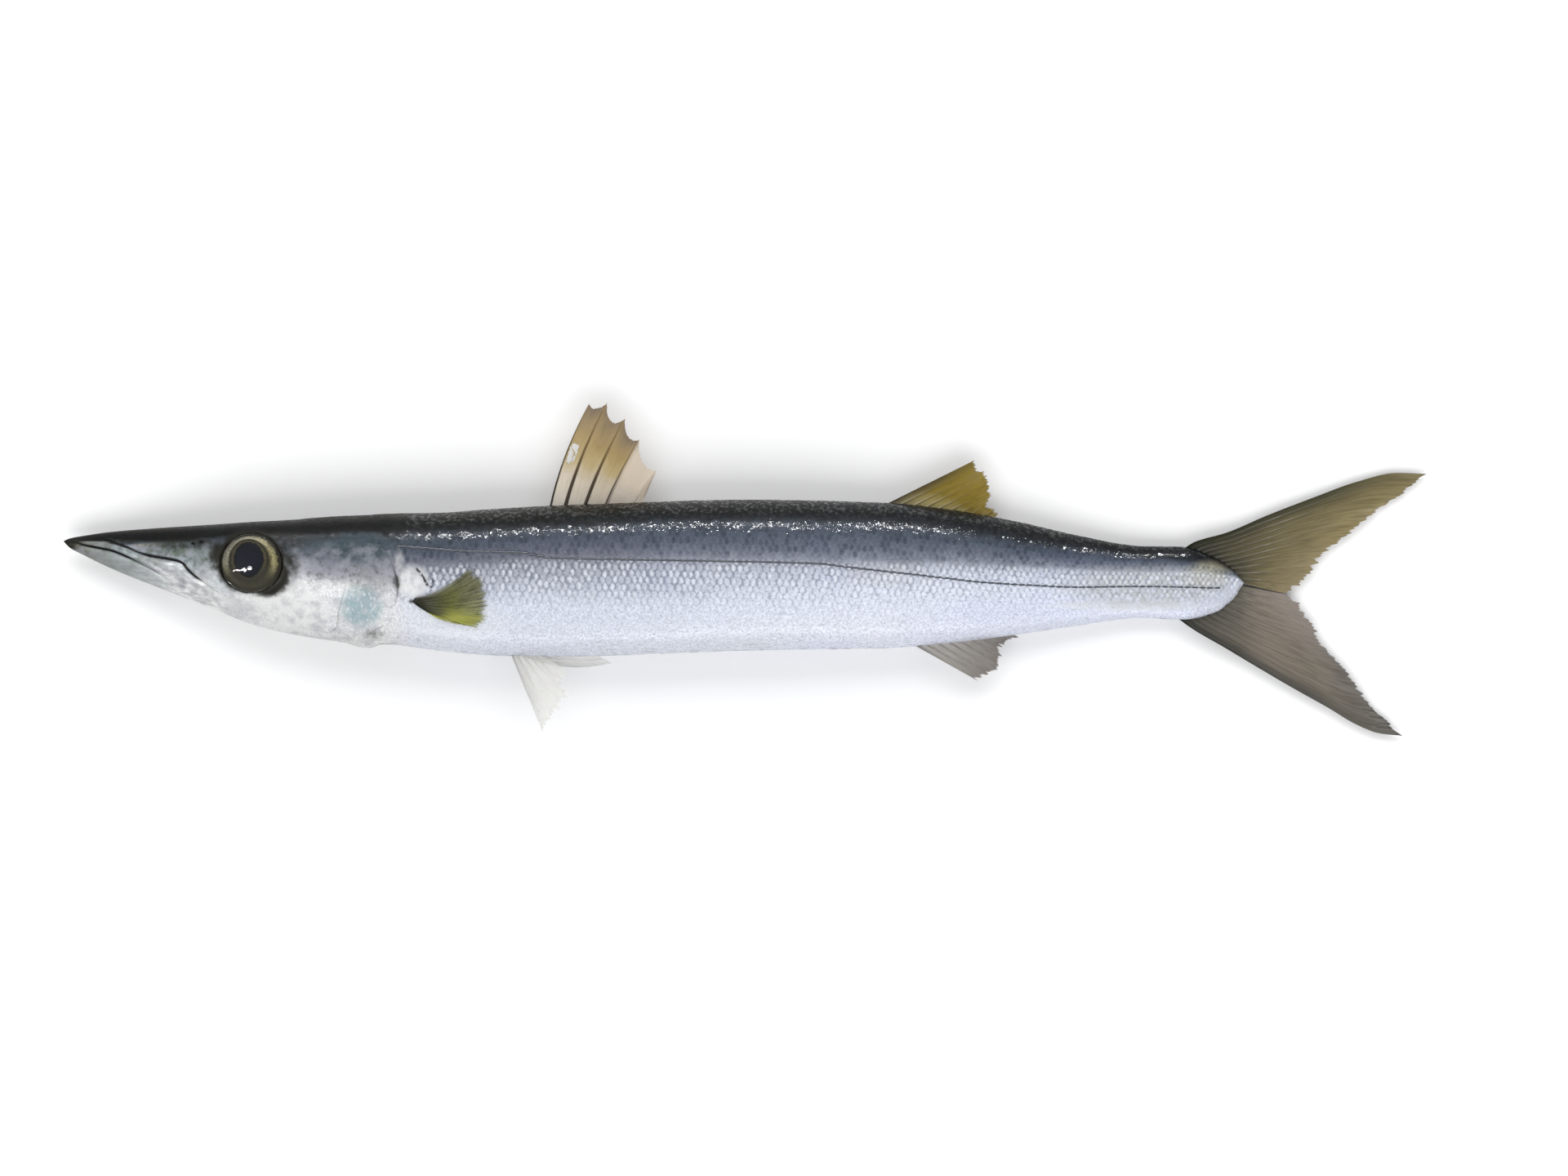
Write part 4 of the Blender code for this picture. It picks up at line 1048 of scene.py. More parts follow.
    def build(self) -> Material:
        """Make the material."""
        bench = Bench(self.name)
        colour = self.colour(bench)
        if self.scaly:
            colour = self.lattice(bench, colour)
        silver = bench.value("tone").spread(0.62, 0.42, 0.0, 0.15)
        grain = bench.noise(900.0, 2.0)
        rough = grain.spread(0.3, 0.7, self.roughness - 0.08, self.roughness + 0.14)
        height = grain * 0.45 + bench.noise(330.0, 2.0)
        bump = bench.bump(0.35, 0.00014, height)
        wet = bench.bump(0.8, 0.00009, bench.noise(1400.0, 1.0))
        film = grain.spread(0.5, 0.6, 0.08, 0.8) * bench.value("head").spread(0.0, 1.0, 1.0, 0.1)
        return bench.finish(bench.plain(
            colour, rough, Metallic=silver, Normal=bump, Specular_IOR_Level=0.1, Coat_Weight=film,
            Coat_Roughness=0.05, Coat_Normal=wet))


@dataclass(frozen=True)
class FinFinish:
    """Thin fin with colours from root to tip, a darker leading edge, darker rays and clear parts."""

    name: str
    web: tuple
    rays: tuple
    lead: Colour
    opacity: tuple
    lead_share: float = 0.8
    ray_share: float = 0.7
    streak: float = 0.35
    rear: Colour = (0.3, 0.24, 0.2)
    rear_share: float = 0.0
    rear_across: tuple = (0.35, 1.0)
    rear_along: tuple = (0.3, 1.0)
    sheer: float = 1.0

    def build(self) -> Material:
        """Make the material."""
        bench = Bench(self.name)
        sheet = bench.out("UVMap", uv_map="fin")
        across, length, _ = bench.parts(sheet)
        ray = bench.value("ray")
        cloud = (bench.noise(160.0, 4.0) - 0.5) * 0.22
        reach = bench.math("ADD", length, cloud, clamp=True)
        colour = bench.ramp(reach, self.web)
        strand = bench.noise(1.0, 3.0, (70.0, 5.0, 1.0), sheet)
        colour = colour.mix(strand.spread(0.42, 0.66, 0.0, self.streak), (0.45, 0.42, 0.38), "MULTIPLY")
        bars = ray * self.ray_share
        colour = colour.mix(bars, bench.ramp(reach, self.rays))
        rear = across.spread(*self.rear_across) * length.spread(*self.rear_along, 0.0, self.rear_share)
        colour = colour.mix(rear, self.rear)
        fading = length.spread(0.6, 1.0, self.lead_share, 0.4 * self.lead_share)
        front = bench.value("lead") * fading
        colour = colour.mix(front, self.lead)
        clear = bench.ramp(reach, [(place, share, share, share) for place, share in self.opacity])
        clear = bench.math("MAXIMUM", clear, bench.math("MAXIMUM", ray, front) * 0.9)
        front_part = across.spread(0.65, 0.2) * length.spread(0.25, 0.55)
        thin = 1.0 - front_part * (1.0 - self.sheer)
        clear = clear * thin
        fibre = bench.noise(1.0, 2.0, (260.0, 14.0, 1.0), sheet)
        skin = bench.plain(
            colour, 0.42, Normal=bench.bump(0.4, 0.0001, fibre), Specular_IOR_Level=0.4, Coat_Weight=0.15,
            Coat_Roughness=0.15)
        glow = bench.out("BsdfTranslucent", {"Color": colour})
        return bench.finish(bench.out("MixShader", {0: 0.25, 1: skin, 2: glow}), clear)


@dataclass(frozen=True)
class IrisFinish:
    """Blue-black pupil in a gold and bronze iris, paler in front and dark below."""

    name: str = "iris"
    rings: tuple = (
        (0.0, 0.004, 0.006, 0.014), (0.45, 0.004, 0.006, 0.011), (0.48, 0.012, 0.01, 0.006),
        (0.51, 0.07, 0.06, 0.036), (0.55, 0.06, 0.05, 0.028), (0.59, 0.02, 0.018, 0.008),
        (0.64, 0.022, 0.019, 0.009), (0.71, 0.12, 0.105, 0.056), (0.8, 0.21, 0.185, 0.1),
        (0.86, 0.12, 0.105, 0.055), (0.905, 0.02, 0.018, 0.011), (1.0, 0.008, 0.007, 0.005))
    pale: Colour = (0.33, 0.32, 0.25)
    gold: Colour = (0.4, 0.36, 0.18)
    dark: Colour = (0.03, 0.029, 0.02)

    def build(self) -> Material:
        """Make the material."""
        bench = Bench(self.name)
        disc = bench.out("UVMap", uv_map="disc")
        centred = bench.out(
            "Mapping", {"Vector": disc, "Location": (-1.0, -1.0, 0.0), "Scale": (2.0, 2.0, 0.0)})
        out = bench.length(centred)
        beside, above, _ = bench.parts(bench.out("VectorMath", {0: centred}, operation="NORMALIZE"))
        turn = bench.math("ARCTAN2", above, beside)
        polar = bench.out("CombineXYZ", {0: turn * 3.0, 1: out * 3.0})
        fleck = bench.noise(2.2, 4.0, None, polar) - 0.5
        reach = out + fleck * 0.13
        colour = bench.ramp(reach, self.rings)
        band = reach.spread(0.62, 0.72) * reach.spread(0.94, 0.87)
        upward = above * 0.89 - beside * 0.45
        fore = upward.spread(-0.2, 0.9, 0.0, 0.9)
        colour = colour.mix(band * fore, self.pale)
        facing = beside * 0.85 + above * 0.53
        shine = facing.spread(0.3, 0.9, 0.0, 0.6) * (reach.spread(0.7, 0.78) * reach.spread(0.9, 0.85))
        colour = colour.mix(shine, self.gold)
        low = above.spread(0.05, -0.75, 0.0, 0.9) * reach.spread(0.46, 0.52)
        colour = colour.mix(low, self.dark)
        speck = bench.noise(1900.0, 3.0).spread(0.42, 0.66, 0.0, 0.6)
        colour = colour.mix(speck * out.spread(0.45, 0.5), (0.03, 0.027, 0.016))
        metal = out.spread(0.46, 0.56, 0.0, 0.2)
        bump = bench.bump(0.4, 0.00015, bench.noise(900.0, 4.0))
        return bench.finish(bench.plain(colour, 0.5, Metallic=metal, Normal=bump, Specular_IOR_Level=0.05))


@dataclass(frozen=True)
class CorneaFinish:
    """Clear, wet front of the eye that shows only its reflections."""

    name: str = "cornea"
    refraction: float = 1.26
    roughness: float = 0.03

    def build(self) -> Material:
        """Make the material."""
        bench = Bench(self.name)
        share = bench.out("Fresnel", {"IOR": self.refraction})
        film = bench.bump(1.0, 0.0002, bench.noise(420.0, 1.0))
        shine = {"Color": (1.0, 1.0, 1.0), "Roughness": self.roughness, "Normal": film}
        return bench.finish(bench.out("BsdfGlossy", shine), share)


@dataclass(frozen=True)
class PoreFinish:
    """Slate tubes of the lateral line."""

    name: str = "lateral_line"
    colour: Colour = (0.04, 0.046, 0.06)
    pale: Colour = (0.055, 0.062, 0.08)

    def build(self) -> Material:
        """Make the material."""
        bench = Bench(self.name)
        colour = bench.mix(bench.noise(500.0).spread(0.4, 0.65), self.colour, self.pale)
        return bench.finish(bench.plain(colour, 0.35, Coat_Weight=0.3, Coat_Roughness=0.1))


@dataclass(frozen=True)
class FloorFinish:
    """Plain, nearly white floor."""

    name: str = "studio_floor"
    colour: Colour = (0.93, 0.93, 0.93)
    darker: Colour = (0.92, 0.92, 0.92)

    def build(self) -> Material:
        """Make the material."""
        bench = Bench(self.name)
        colour = bench.mix(bench.noise(6.0, 2.0), self.colour, self.darker)
        return bench.finish(bench.plain(colour, 0.9, Specular_IOR_Level=0.1))


# Skin

@dataclass
class Skin:
    """The one skin of head, trunk and tail root, with the relief of the head."""

    form: BodyForm
    relief: Relief
    markings: Markings
    placement: Placement
    columns: int = 280
    head_end: float = 93.0
    head_step: float = 0.4
    trunk_step: float = 2.6
    sunk: float = SKIN_SUNK
    snap_reach: float = 0.24
    relief_margin: float = 12.0
    ridge: float = 0.05
    tip: float = 0.2
    nodes: tuple = (
        "head", "jaw_lower", "jaw_upper_left", "jaw_upper_right", "gill_cover_left", "gill_cover_right",
        "trunk_front", "trunk_rear", "tail_stalk")

    def rows(self) -> Array:
        """Places of the rings along the fish, dense on the head."""
        head = np.arange(0.0, self.head_end, self.head_step)
        trunk = np.arange(self.head_end, BODY_END, self.trunk_step)
        return np.concatenate([head, trunk, [BODY_END]])

    def snapped(self, points: Array, share: Array) -> Array:
        """Move points near the edge of an eye socket onto it, along the flank.

        Args:
            points: Points of the plain form.
            share: Their shares of the girth.

        Returns:
            The points.
        """
        places = self.relief.snap(points[:, :2], self.snap_reach)
        moved = np.any(places != points[:, :2], axis=1)
        side = np.where(share <= 0.5, 1.0, -1.0)
        height = self.form.level(places[:, 0]) + side * self.form.flank_rise(places[:, 0], places[:, 1])
        result = points.copy()
        result[moved, :2] = places[moved]
        result[moved, 2] = np.maximum(height[moved], 0.0)
        return result

    def mesh(self) -> Mesh:
        """Build the closed skin.

        Returns:
            Mesh in the frame, with its markings.
        """
        rows = self.rows()
        shares = np.arange(self.columns) / self.columns
        x, share = (grid.ravel() for grid in np.meshgrid(rows, shares, indexing="ij"))
        points, normals, _ = self.form.frame(x, share)
        on_head = x < self.head_end + self.relief_margin
        points[on_head] = self.snapped(points[on_head], share[on_head])
        rise = np.zeros(len(points))
        rise[on_head] = self.relief.height(points[on_head, :2])
        off_ridge = ease(np.minimum(share % 0.5, 0.5 - share % 0.5), 0.0, self.ridge)
        lift = rise * off_ridge - self.sunk
        shaped = points + normals * lift[:, None]
        shaped[:, 2] = np.maximum(shaped[:, 2], self.sunk)
        ends = np.array(
            [shaped[: self.columns].mean(axis=0) - (self.tip, 0.0, 0.0),
            shaped[-self.columns:].mean(axis=0)])
        faces = tube_faces(len(rows), self.columns).tolist()
        last = len(shaped) - self.columns
        for j in range(self.columns):
            k = (j + 1) % self.columns
            faces.append([len(shaped), j, k])
            faces.append([len(shaped) + 1, last + k, last + j])
        everything = np.concatenate([shaped, ends])
        mesh = mesh_from("skin", self.placement.world(everything), faces)
        places = np.concatenate([points[:, :2], ends[:, :2]])
        self.markings.store(mesh, places)
        return mesh

    def build(self) -> Piece:
        """Make the skin and dress it."""
        piece = add_piece("skin", self.mesh(), FleshFinish("skin", scaly=False, skull=True).build())
        hand_over(piece, "body_skin", *self.nodes)
        return piece


# Scales and other small plates on the skin

# Where the scales of the trunk start: levels over the head's axis, each with its place along the fish
SCALE_START = (
    (-24.0, 86.5), (-17.0, 86.5), (-14.4, 87.0), (-9.5, 90.6), (-4.8, 92.3), (-1.8, 92.5), (1.3, 92.0),
    (4.2, 90.8), (7.0, 89.4), (9.4, 87.0), (10.4, 82.0), (11.2, 74.0), (13.0, 66.0), (22.0, 64.0))


@dataclass(frozen=True)
class PlateSpots:
    """Places of small plates on the body, with their sizes."""

    x: Array
    share: Array
    length: Array
    width: Array
    rise: Array


class PlatePattern(Enum):
    """Small shapes that are set on the skin."""

    SCALE = "scale"
    TUBE = "tube"

    def mesh(self) -> Mesh:
        """Make the shape, one unit half long and half wide, with heights in metres."""
        return scale_pattern() if self is PlatePattern.SCALE else tube_pattern()


def scale_pattern(
        segments: int = 12, heart: float = 0.6, thickness: float = 0.05, tilt: float = 0.075) -> Mesh:
    """Thin domed plate whose rear edge stands up a little.

    Args:
        segments: Corners of its outline.
        heart: Share of the outline at which its inner ring lies.
        thickness: Depth of its underside, in millimetres.
        tilt: Rise of its rear edge, in millimetres.

    Returns:
        Mesh with the local place of each vertex stored on it.
    """
    turns = 2.0 * np.pi * np.arange(segments) / segments
    points = [(0.0, 0.0, 0.065)]
    for share, height in ((heart, 0.055), (1.0, 0.025)):
        points += [(share * math.cos(turn), share * math.sin(turn), height) for turn in turns]
    points.append((0.0, 0.0, -thickness))
    faces = []
    for i in range(segments):
        k = (i + 1) % segments
        faces.append((0, 1 + i, 1 + k))
        faces.append((1 + i, 1 + segments + i, 1 + segments + k))
        faces.append((1 + i, 1 + segments + k, 1 + k))
        faces.append((len(points) - 1, 1 + segments + k, 1 + segments + i))
    points = [(a, b, c + tilt * a) for a, b, c in points]
    return pattern_mesh("scale_pattern", points, faces)


def tube_pattern(segments: int = 8, rings: int = 5, height: float = 0.16) -> Mesh:
    """Low tube that lies lengthwise and tapers at both ends.

    Args:
        segments: Corners round it.
        rings: Sections along it.
        height: How high it stands, in millimetres.

    Returns:
        Mesh with the local place of each vertex stored on it.
    """
    points = [(-1.0, 0.0, 0.0)]
    for i in range(1, rings + 1):
        a = -1.0 + 2.0 * i / (rings + 1)
        size = math.sqrt(1.0 - a * a) ** 0.7
        for j in range(segments):
            turn = 2.0 * math.pi * j / segments
            points.append((a, size * math.cos(turn), height * size * math.sin(turn) + 0.12))
    points.append((1.0, 0.0, 0.1))
    faces = []
    for j in range(segments):
        k = (j + 1) % segments
        faces.append((0, 1 + k, 1 + j))
        for i in range(rings - 1):
            low, high = 1 + i * segments, 1 + (i + 1) * segments
            faces += [(low + j, low + k, high + k), (low + j, high + k, high + j)]
        low = 1 + (rings - 1) * segments
        faces.append((low + j, low + k, len(points) - 1))
    return pattern_mesh("tube_pattern", points, faces)


def pattern_mesh(name: str, points: list, faces: list) -> Mesh:
    """Make a pattern from half lengths, half widths and heights in millimetres."""
    mesh = mesh_from(name, np.array([(a, b, c * MM) for a, b, c in points]), faces)
    mesh.set_sharp_from_angle(angle=math.radians(RIM_ANGLE))
    store_vectors(mesh, "spot", np.array([(a, b, 0.0) for a, b, _ in points]))
    return mesh


class PlateTree(Desk):
    """Geometry Nodes that set a pattern on every point, bend it to the skin and unwrap it."""

    INPUTS = (
        ("Geometry", "Geometry"), ("Pattern", "Object"), ("Unrest", "Float"), ("Patch", "Float"),
        ("Seed", "Int"), ("Material", "Material"))

    def __init__(self) -> None:
        """Build the tree."""
        super().__init__(bpy.data.node_groups.new("plates_on_skin", "GeometryNodeTree"))
        for name, kind in self.INPUTS:
            self.tree.interface.new_socket(name, in_out="INPUT", socket_type="NodeSocket" + kind)
        self.tree.interface.new_socket("Geometry", in_out="OUTPUT", socket_type="NodeSocketGeometry")
        self.lay()

    def named(self, name: str, kind: str = "FLOAT_VECTOR") -> Signal:
        """Attribute that the points carry."""
        return self.out("GeometryNodeInputNamedAttribute", {"Name": name}, "Attribute", data_type=kind)

    def scaled(self, vector: Signal, size: Signal) -> Signal:
        """Vector times a number."""
        return self.out("VectorMath", {0: vector, "Scale": size}, operation="SCALE")

    def lay(self) -> None:
        """Link points, pattern, bend, unwrap and material."""
        given = {socket.name: Signal(self, socket) for socket in self.add("NodeGroupInput").outputs}
        facing = self.named("facing")
        axes = self.out(
            "FunctionNodeAxesToRotation", {"Primary Axis": facing, "Secondary Axis": self.named("lie")},
            primary_axis="Z", secondary_axis="X")
        unrest = {0: given["Unrest"] * -1.0, 1: given["Unrest"], "Seed": given["Seed"]}
        chance = self.out("FunctionNodeRandomValue", unrest, data_type="FLOAT_VECTOR")
        tilt = self.out("FunctionNodeEulerToRotation", {0: chance})
        turned = self.out("FunctionNodeRotateRotation", {0: axes, 1: tilt}, rotation_space="LOCAL")
        shape = self.out("GeometryNodeObjectInfo", {"Object": given["Pattern"]}, "Geometry")
        copies = self.out(
            "GeometryNodeInstanceOnPoints", {"Points": given["Geometry"], "Instance": shape,
            "Rotation": turned, "Scale": self.named("size")})
        real = self.out("GeometryNodeRealizeInstances", {"Geometry": copies})
        beside = self.parts(self.named("spot"))[1] * self.parts(self.named("size"))[1]
        fall = self.scaled(facing, beside * beside * self.named("bend", "FLOAT"))
        bent = self.out("GeometryNodeSetPosition", {"Geometry": real, "Offset": fall})
        patch = self.scaled(self.named("spot"), given["Patch"])
        mapped = self.out("VectorMath", {0: patch, 1: self.named("root")}, operation="ADD")
        stored = self.out(
            "GeometryNodeStoreNamedAttribute", {"Geometry": bent, "Name": BAKE_MAP, "Value": mapped},
            data_type="FLOAT2", domain="CORNER")
        dressed = {"Geometry": stored, "Material": given["Material"]}
        self.add("NodeGroupOutput", {0: self.out("GeometryNodeSetMaterial", dressed)})

    def run(self, points: Piece, values: dict[str, object]) -> Mesh:
        """Run the tree on points and give the result as a plain mesh.

        Args:
            points: Object whose vertices carry the plates.
            values: Values for the named inputs.

        Returns:
            Mesh with nothing instanced.
        """
        change = points.modifiers.new("plates", "NODES")
        change.node_group = self.tree
        for item in self.tree.interface.items_tree:
            if item.in_out == "INPUT" and item.name in values:
                change[item.identifier] = values[item.name]
        graph = bpy.context.evaluated_depsgraph_get()
        mesh = bpy.data.meshes.new_from_object(
            points.evaluated_get(graph), preserve_all_data_layers=True, depsgraph=graph)
        points.modifiers.remove(change)
        return mesh


@dataclass
class PlateField:
    """Joined mesh of many small plates that follow the body."""

    name: str
    pattern: PlatePattern
    form: BodyForm
    placement: Placement
    tree: PlateTree
    relief: Relief | None = None
    unrest: float = 0.03
    patch: float = 0.0013
    seed: int = 5
    sunk: float = SKIN_SUNK
    floor_gap: float = 0.03
    arc_probe: float = 0.012
    map_size: float = 0.98
    map_edge: float = 0.01

    def points(self, spots: PlateSpots) -> Piece:
        """Make the points that carry the plates, with what the tree reads from them.

        Args:
            spots: Where the plates are and how large.

        Returns:
            Object of loose vertices.
        """
        places, normals, tangents = self.form.frame(spots.x, spots.share)
        lift = np.full(len(places), -0.5 * self.sunk)
        if self.relief:
            lift += self.relief.height(places[:, :2])
        before = self.form.frame(spots.x, spots.share - self.arc_probe)
        after = self.form.frame(spots.x, spots.share + self.arc_probe)
        arc = np.linalg.norm(after[0] - before[0], axis=1)
        turn = np.arccos(np.clip(np.sum(before[1] * after[1], axis=1), -1.0, 1.0))
        bend = -0.5 * turn / np.maximum(arc, 0.2) / MM
        mesh = bpy.data.meshes.new(self.name + "_points")
        mesh.from_pydata(self.placement.world(places + normals * lift[:, None]).tolist(), [], [])
        size = np.stack([spots.length * MM, spots.width * MM, spots.rise], axis=1)
        root = np.stack(
            [spots.x / BODY_END * self.map_size + self.map_edge,
            spots.share * self.map_size + self.map_edge, np.zeros(len(spots.x))], axis=1)
        for key, values in (("facing", normals), ("lie", tangents), ("size", size), ("root", root)):
            store_vectors(mesh, key, values)
        store_values(mesh, "bend", bend)
        store_values(mesh, "shade", np.random.default_rng(self.seed).random(len(spots.x)))
        return linked(self.name + "_points", mesh)

    def build(self, spots: PlateSpots, material: Material, markings: Markings | None = None) -> Piece:
        """Make the plates.

        Args:
            spots: Where the plates are and how large.
            material: Finish of the plates.
            markings: Markings that the plates carry, if any.

        Returns:
            The finished piece.
        """
        carrier = self.points(spots)
        shape = linked("pattern", self.pattern.mesh())
        mesh = self.tree.run(
            carrier, {"Pattern": shape, "Unrest": self.unrest, "Patch": self.patch, "Seed": self.seed,
            "Material": material})
        bpy.data.objects.remove(carrier)
        bpy.data.objects.remove(shape)
        corners = np.empty(len(mesh.vertices) * 3, np.float32)
        mesh.vertices.foreach_get("co", corners)
        corners = corners.reshape(-1, 3)
        corners[:, 2] = np.maximum(corners[:, 2], self.floor_gap * MM)
        mesh.vertices.foreach_set("co", corners.ravel())
        for key in ("facing", "lie", "size", "root", "bend"):
            if key in mesh.attributes:
                mesh.attributes.remove(mesh.attributes[key])
        if markings:
            places = corners[:, :2] / MM - (self.placement.shift_x, self.placement.shift_y)
            markings.store(mesh, places)
        mesh.update()
        mesh.name = self.name
        return add_piece(self.name, mesh, material)


@dataclass
class ScaleCoat:
    """Overlapping scales of the trunk, in rows that follow the lateral line, and small ones on the head."""

    form: BodyForm
    placement: Placement
    relief: Relief
    markings: Markings
    tree: PlateTree
    first: float = 66.0
    last: float = 317.0
    pitch: tuple = ((66.0, 1.7), (100.0, 1.76), (240.0, 1.76), (317.0, 1.4))
    row_step: tuple = ((66.0, 1.6), (100.0, 1.87), (225.0, 1.8), (260.0, 1.45), (317.0, 1.05))
    overlap: float = 0.74
    cover: float = 0.68
    jitter: float = 0.11
    flat_rise: float = 0.2
    unrest: float = 0.035
    seed: int = 11
    rows: int = 60
    edge_gap: float = 0.25
    size_spread: float = 0.05
    face_first: float = 74.0
    face_last: float = 91.0
    face_margin: float = 1.1
    face_oval: tuple = ((81.8, -7.8), (6.6, 6.2))
    face_pitch: tuple = ((60.0, 1.1), (93.0, 1.11))
    face_row: tuple = ((60.0, 1.0), (93.0, 1.01))
    line: Curve = field(default_factory=lambda: smooth_curve(((60.0, 8.6),) + LATERAL_LINE))

    def columns(self, first: float, last: float, pitch: Curve) -> Array:
        """Places along the fish, one scale apart."""
        places = [first]
        while places[-1] < last:
            places.append(places[-1] + float(pitch(np.array([places[-1]]))[0]))
        return np.array(places)

    def lay(self, columns: Array, pitch: Curve, step: Curve, side: Flank) -> PlateSpots:
        """Set rows of scales above and below the lateral line.

        Args:
            columns: Places along the fish.
            pitch: Length between scales.
            step: Distance between rows.
            side: Flank that they lie on.

        Returns:
            Places and sizes before any are left out.
        """
        chance = np.random.default_rng(self.seed + side.value)
        xs, shares, lengths, widths = [], [], [], []
        for row in range(-self.rows, self.rows + 1):
            x = columns + (0.5 * pitch(columns) if row % 2 else 0.0)
            girth = self.form.girth(x)
            origin = self.form.share_at(x, self.line(x)) * girth
            height = origin + row * step(x) + chance.normal(0.0, self.jitter, len(x))
            x = x + chance.normal(0.0, self.jitter, len(x))
            keep = (height > self.edge_gap) & (height < girth - self.edge_gap) & (x < self.last)
            part = height[keep] / girth[keep] / 2.0
            xs.append(x[keep])
            shares.append(part if side is Flank.LEFT else 1.0 - part)
            grown = chance.normal(1.0, self.size_spread, keep.sum())
            lengths.append(self.overlap * pitch(x[keep]) * grown)
            widths.append(self.cover * step(x[keep]) * grown)
        x, share, length, width = (np.concatenate(group) for group in (xs, shares, lengths, widths))
        return PlateSpots(x, share, length, width, self.rise(x, share))

    def rise(self, x: Array, share: Array) -> Array:
        """How far the scales stand out: fully on the mid flank, little on back, belly and nape."""
        places = self.form.point(x, share)[:, :2]
        tone = self.markings.tone(places)
        open_skin = ease(tone, 0.12, 0.3) * ease(tone, 0.78, 0.7) * ease(places[:, 0], 92.0, 112.0)
        return self.flat_rise + (1.0 - self.flat_rise) * open_skin

    def trimmed(self, spots: PlateSpots, keep: Callable[[Array], Array]) -> PlateSpots:
        """Leave out the scales whose place isn't wanted."""
        places = self.form.point(spots.x, spots.share)[:, :2]
        kept = keep(places)
        return PlateSpots(
            *(values[kept] for values in (spots.x, spots.share, spots.length, spots.width, spots.rise)))

    def on_trunk(self, places: Array) -> Array:
        """Tell which places lie behind the gill cover or on the nape."""
        x, y = places[:, 0], places[:, 1]
        return x > smooth_curve(SCALE_START)(y)

    def on_face(self, places: Array) -> Array:
        """Tell which places lie on the scaly patch of the gill cover."""
        cover = depth_inside(places, self.relief.cover) > self.face_margin
        return cover & (oval(places, *self.face_oval) < 1.0)

    def build(self) -> list[Piece]:
        """Make both coats of the trunk and the small scales of the head."""
        pitch, step = smooth_curve(self.pitch), smooth_curve(self.row_step)
        coat = FleshFinish("scales", scaly=True, skull=False).build()
        face = FleshFinish("face_scales", scaly=True, skull=True).build()
        face_pitch, face_step = smooth_curve(self.face_pitch), smooth_curve(self.face_row)
        fields = (
            ("scales", coat, "body_skin", self.columns(self.first, self.last, pitch), pitch, step,
             self.on_trunk, None),
            ("face_scales", face, "head_skin", self.columns(self.face_first, self.face_last, face_pitch),
             face_pitch, face_step, self.on_face, self.relief))
        pieces = []
        for name, material, slot, columns, run, rows, wanted, relief in fields:
            for side in Flank:
                plates = PlateField(
                    f"{name}_{side.word}", PlatePattern.SCALE, self.form, self.placement, self.tree, relief,
                    self.unrest, seed=self.seed + len(pieces))
                spots = self.trimmed(self.lay(columns, run, rows, side), wanted)
                pieces.append(plates.build(spots, material, self.markings))
                hand_over(pieces[-1], slot)
        return pieces


@dataclass
class LateralLine:
    """Row of low, dark tubes along each flank."""

    form: BodyForm
    placement: Placement
    tree: PlateTree
    start: float = 92.5
    end: float = 313.0
    step: float = 2.05
    half_length: float = 1.5
    half_width: float = 0.32

    def build(self) -> Piece:
        """Make the tubes of both flanks."""
        line = smooth_curve(LATERAL_LINE)
        x = np.arange(self.start, self.end, self.step)
        share = self.form.share_at(x, line(x)) / 2.0
        size = np.interp(x, [self.start, self.end], [1.0, 0.7])
        spots = PlateSpots(
            np.concatenate([x, x]), np.concatenate([share, 1.0 - share]),
            np.tile(self.half_length * size, 2), np.tile(self.half_width * size, 2), np.ones(2 * len(x)))
        plates = PlateField(
            "lateral_line", PlatePattern.TUBE, self.form, self.placement, self.tree, unrest=0.02, seed=3,
            sunk=0.0)
        piece = plates.build(spots, PoreFinish().build())
        hand_over(piece, "body_skin")
        return piece


# Eyes

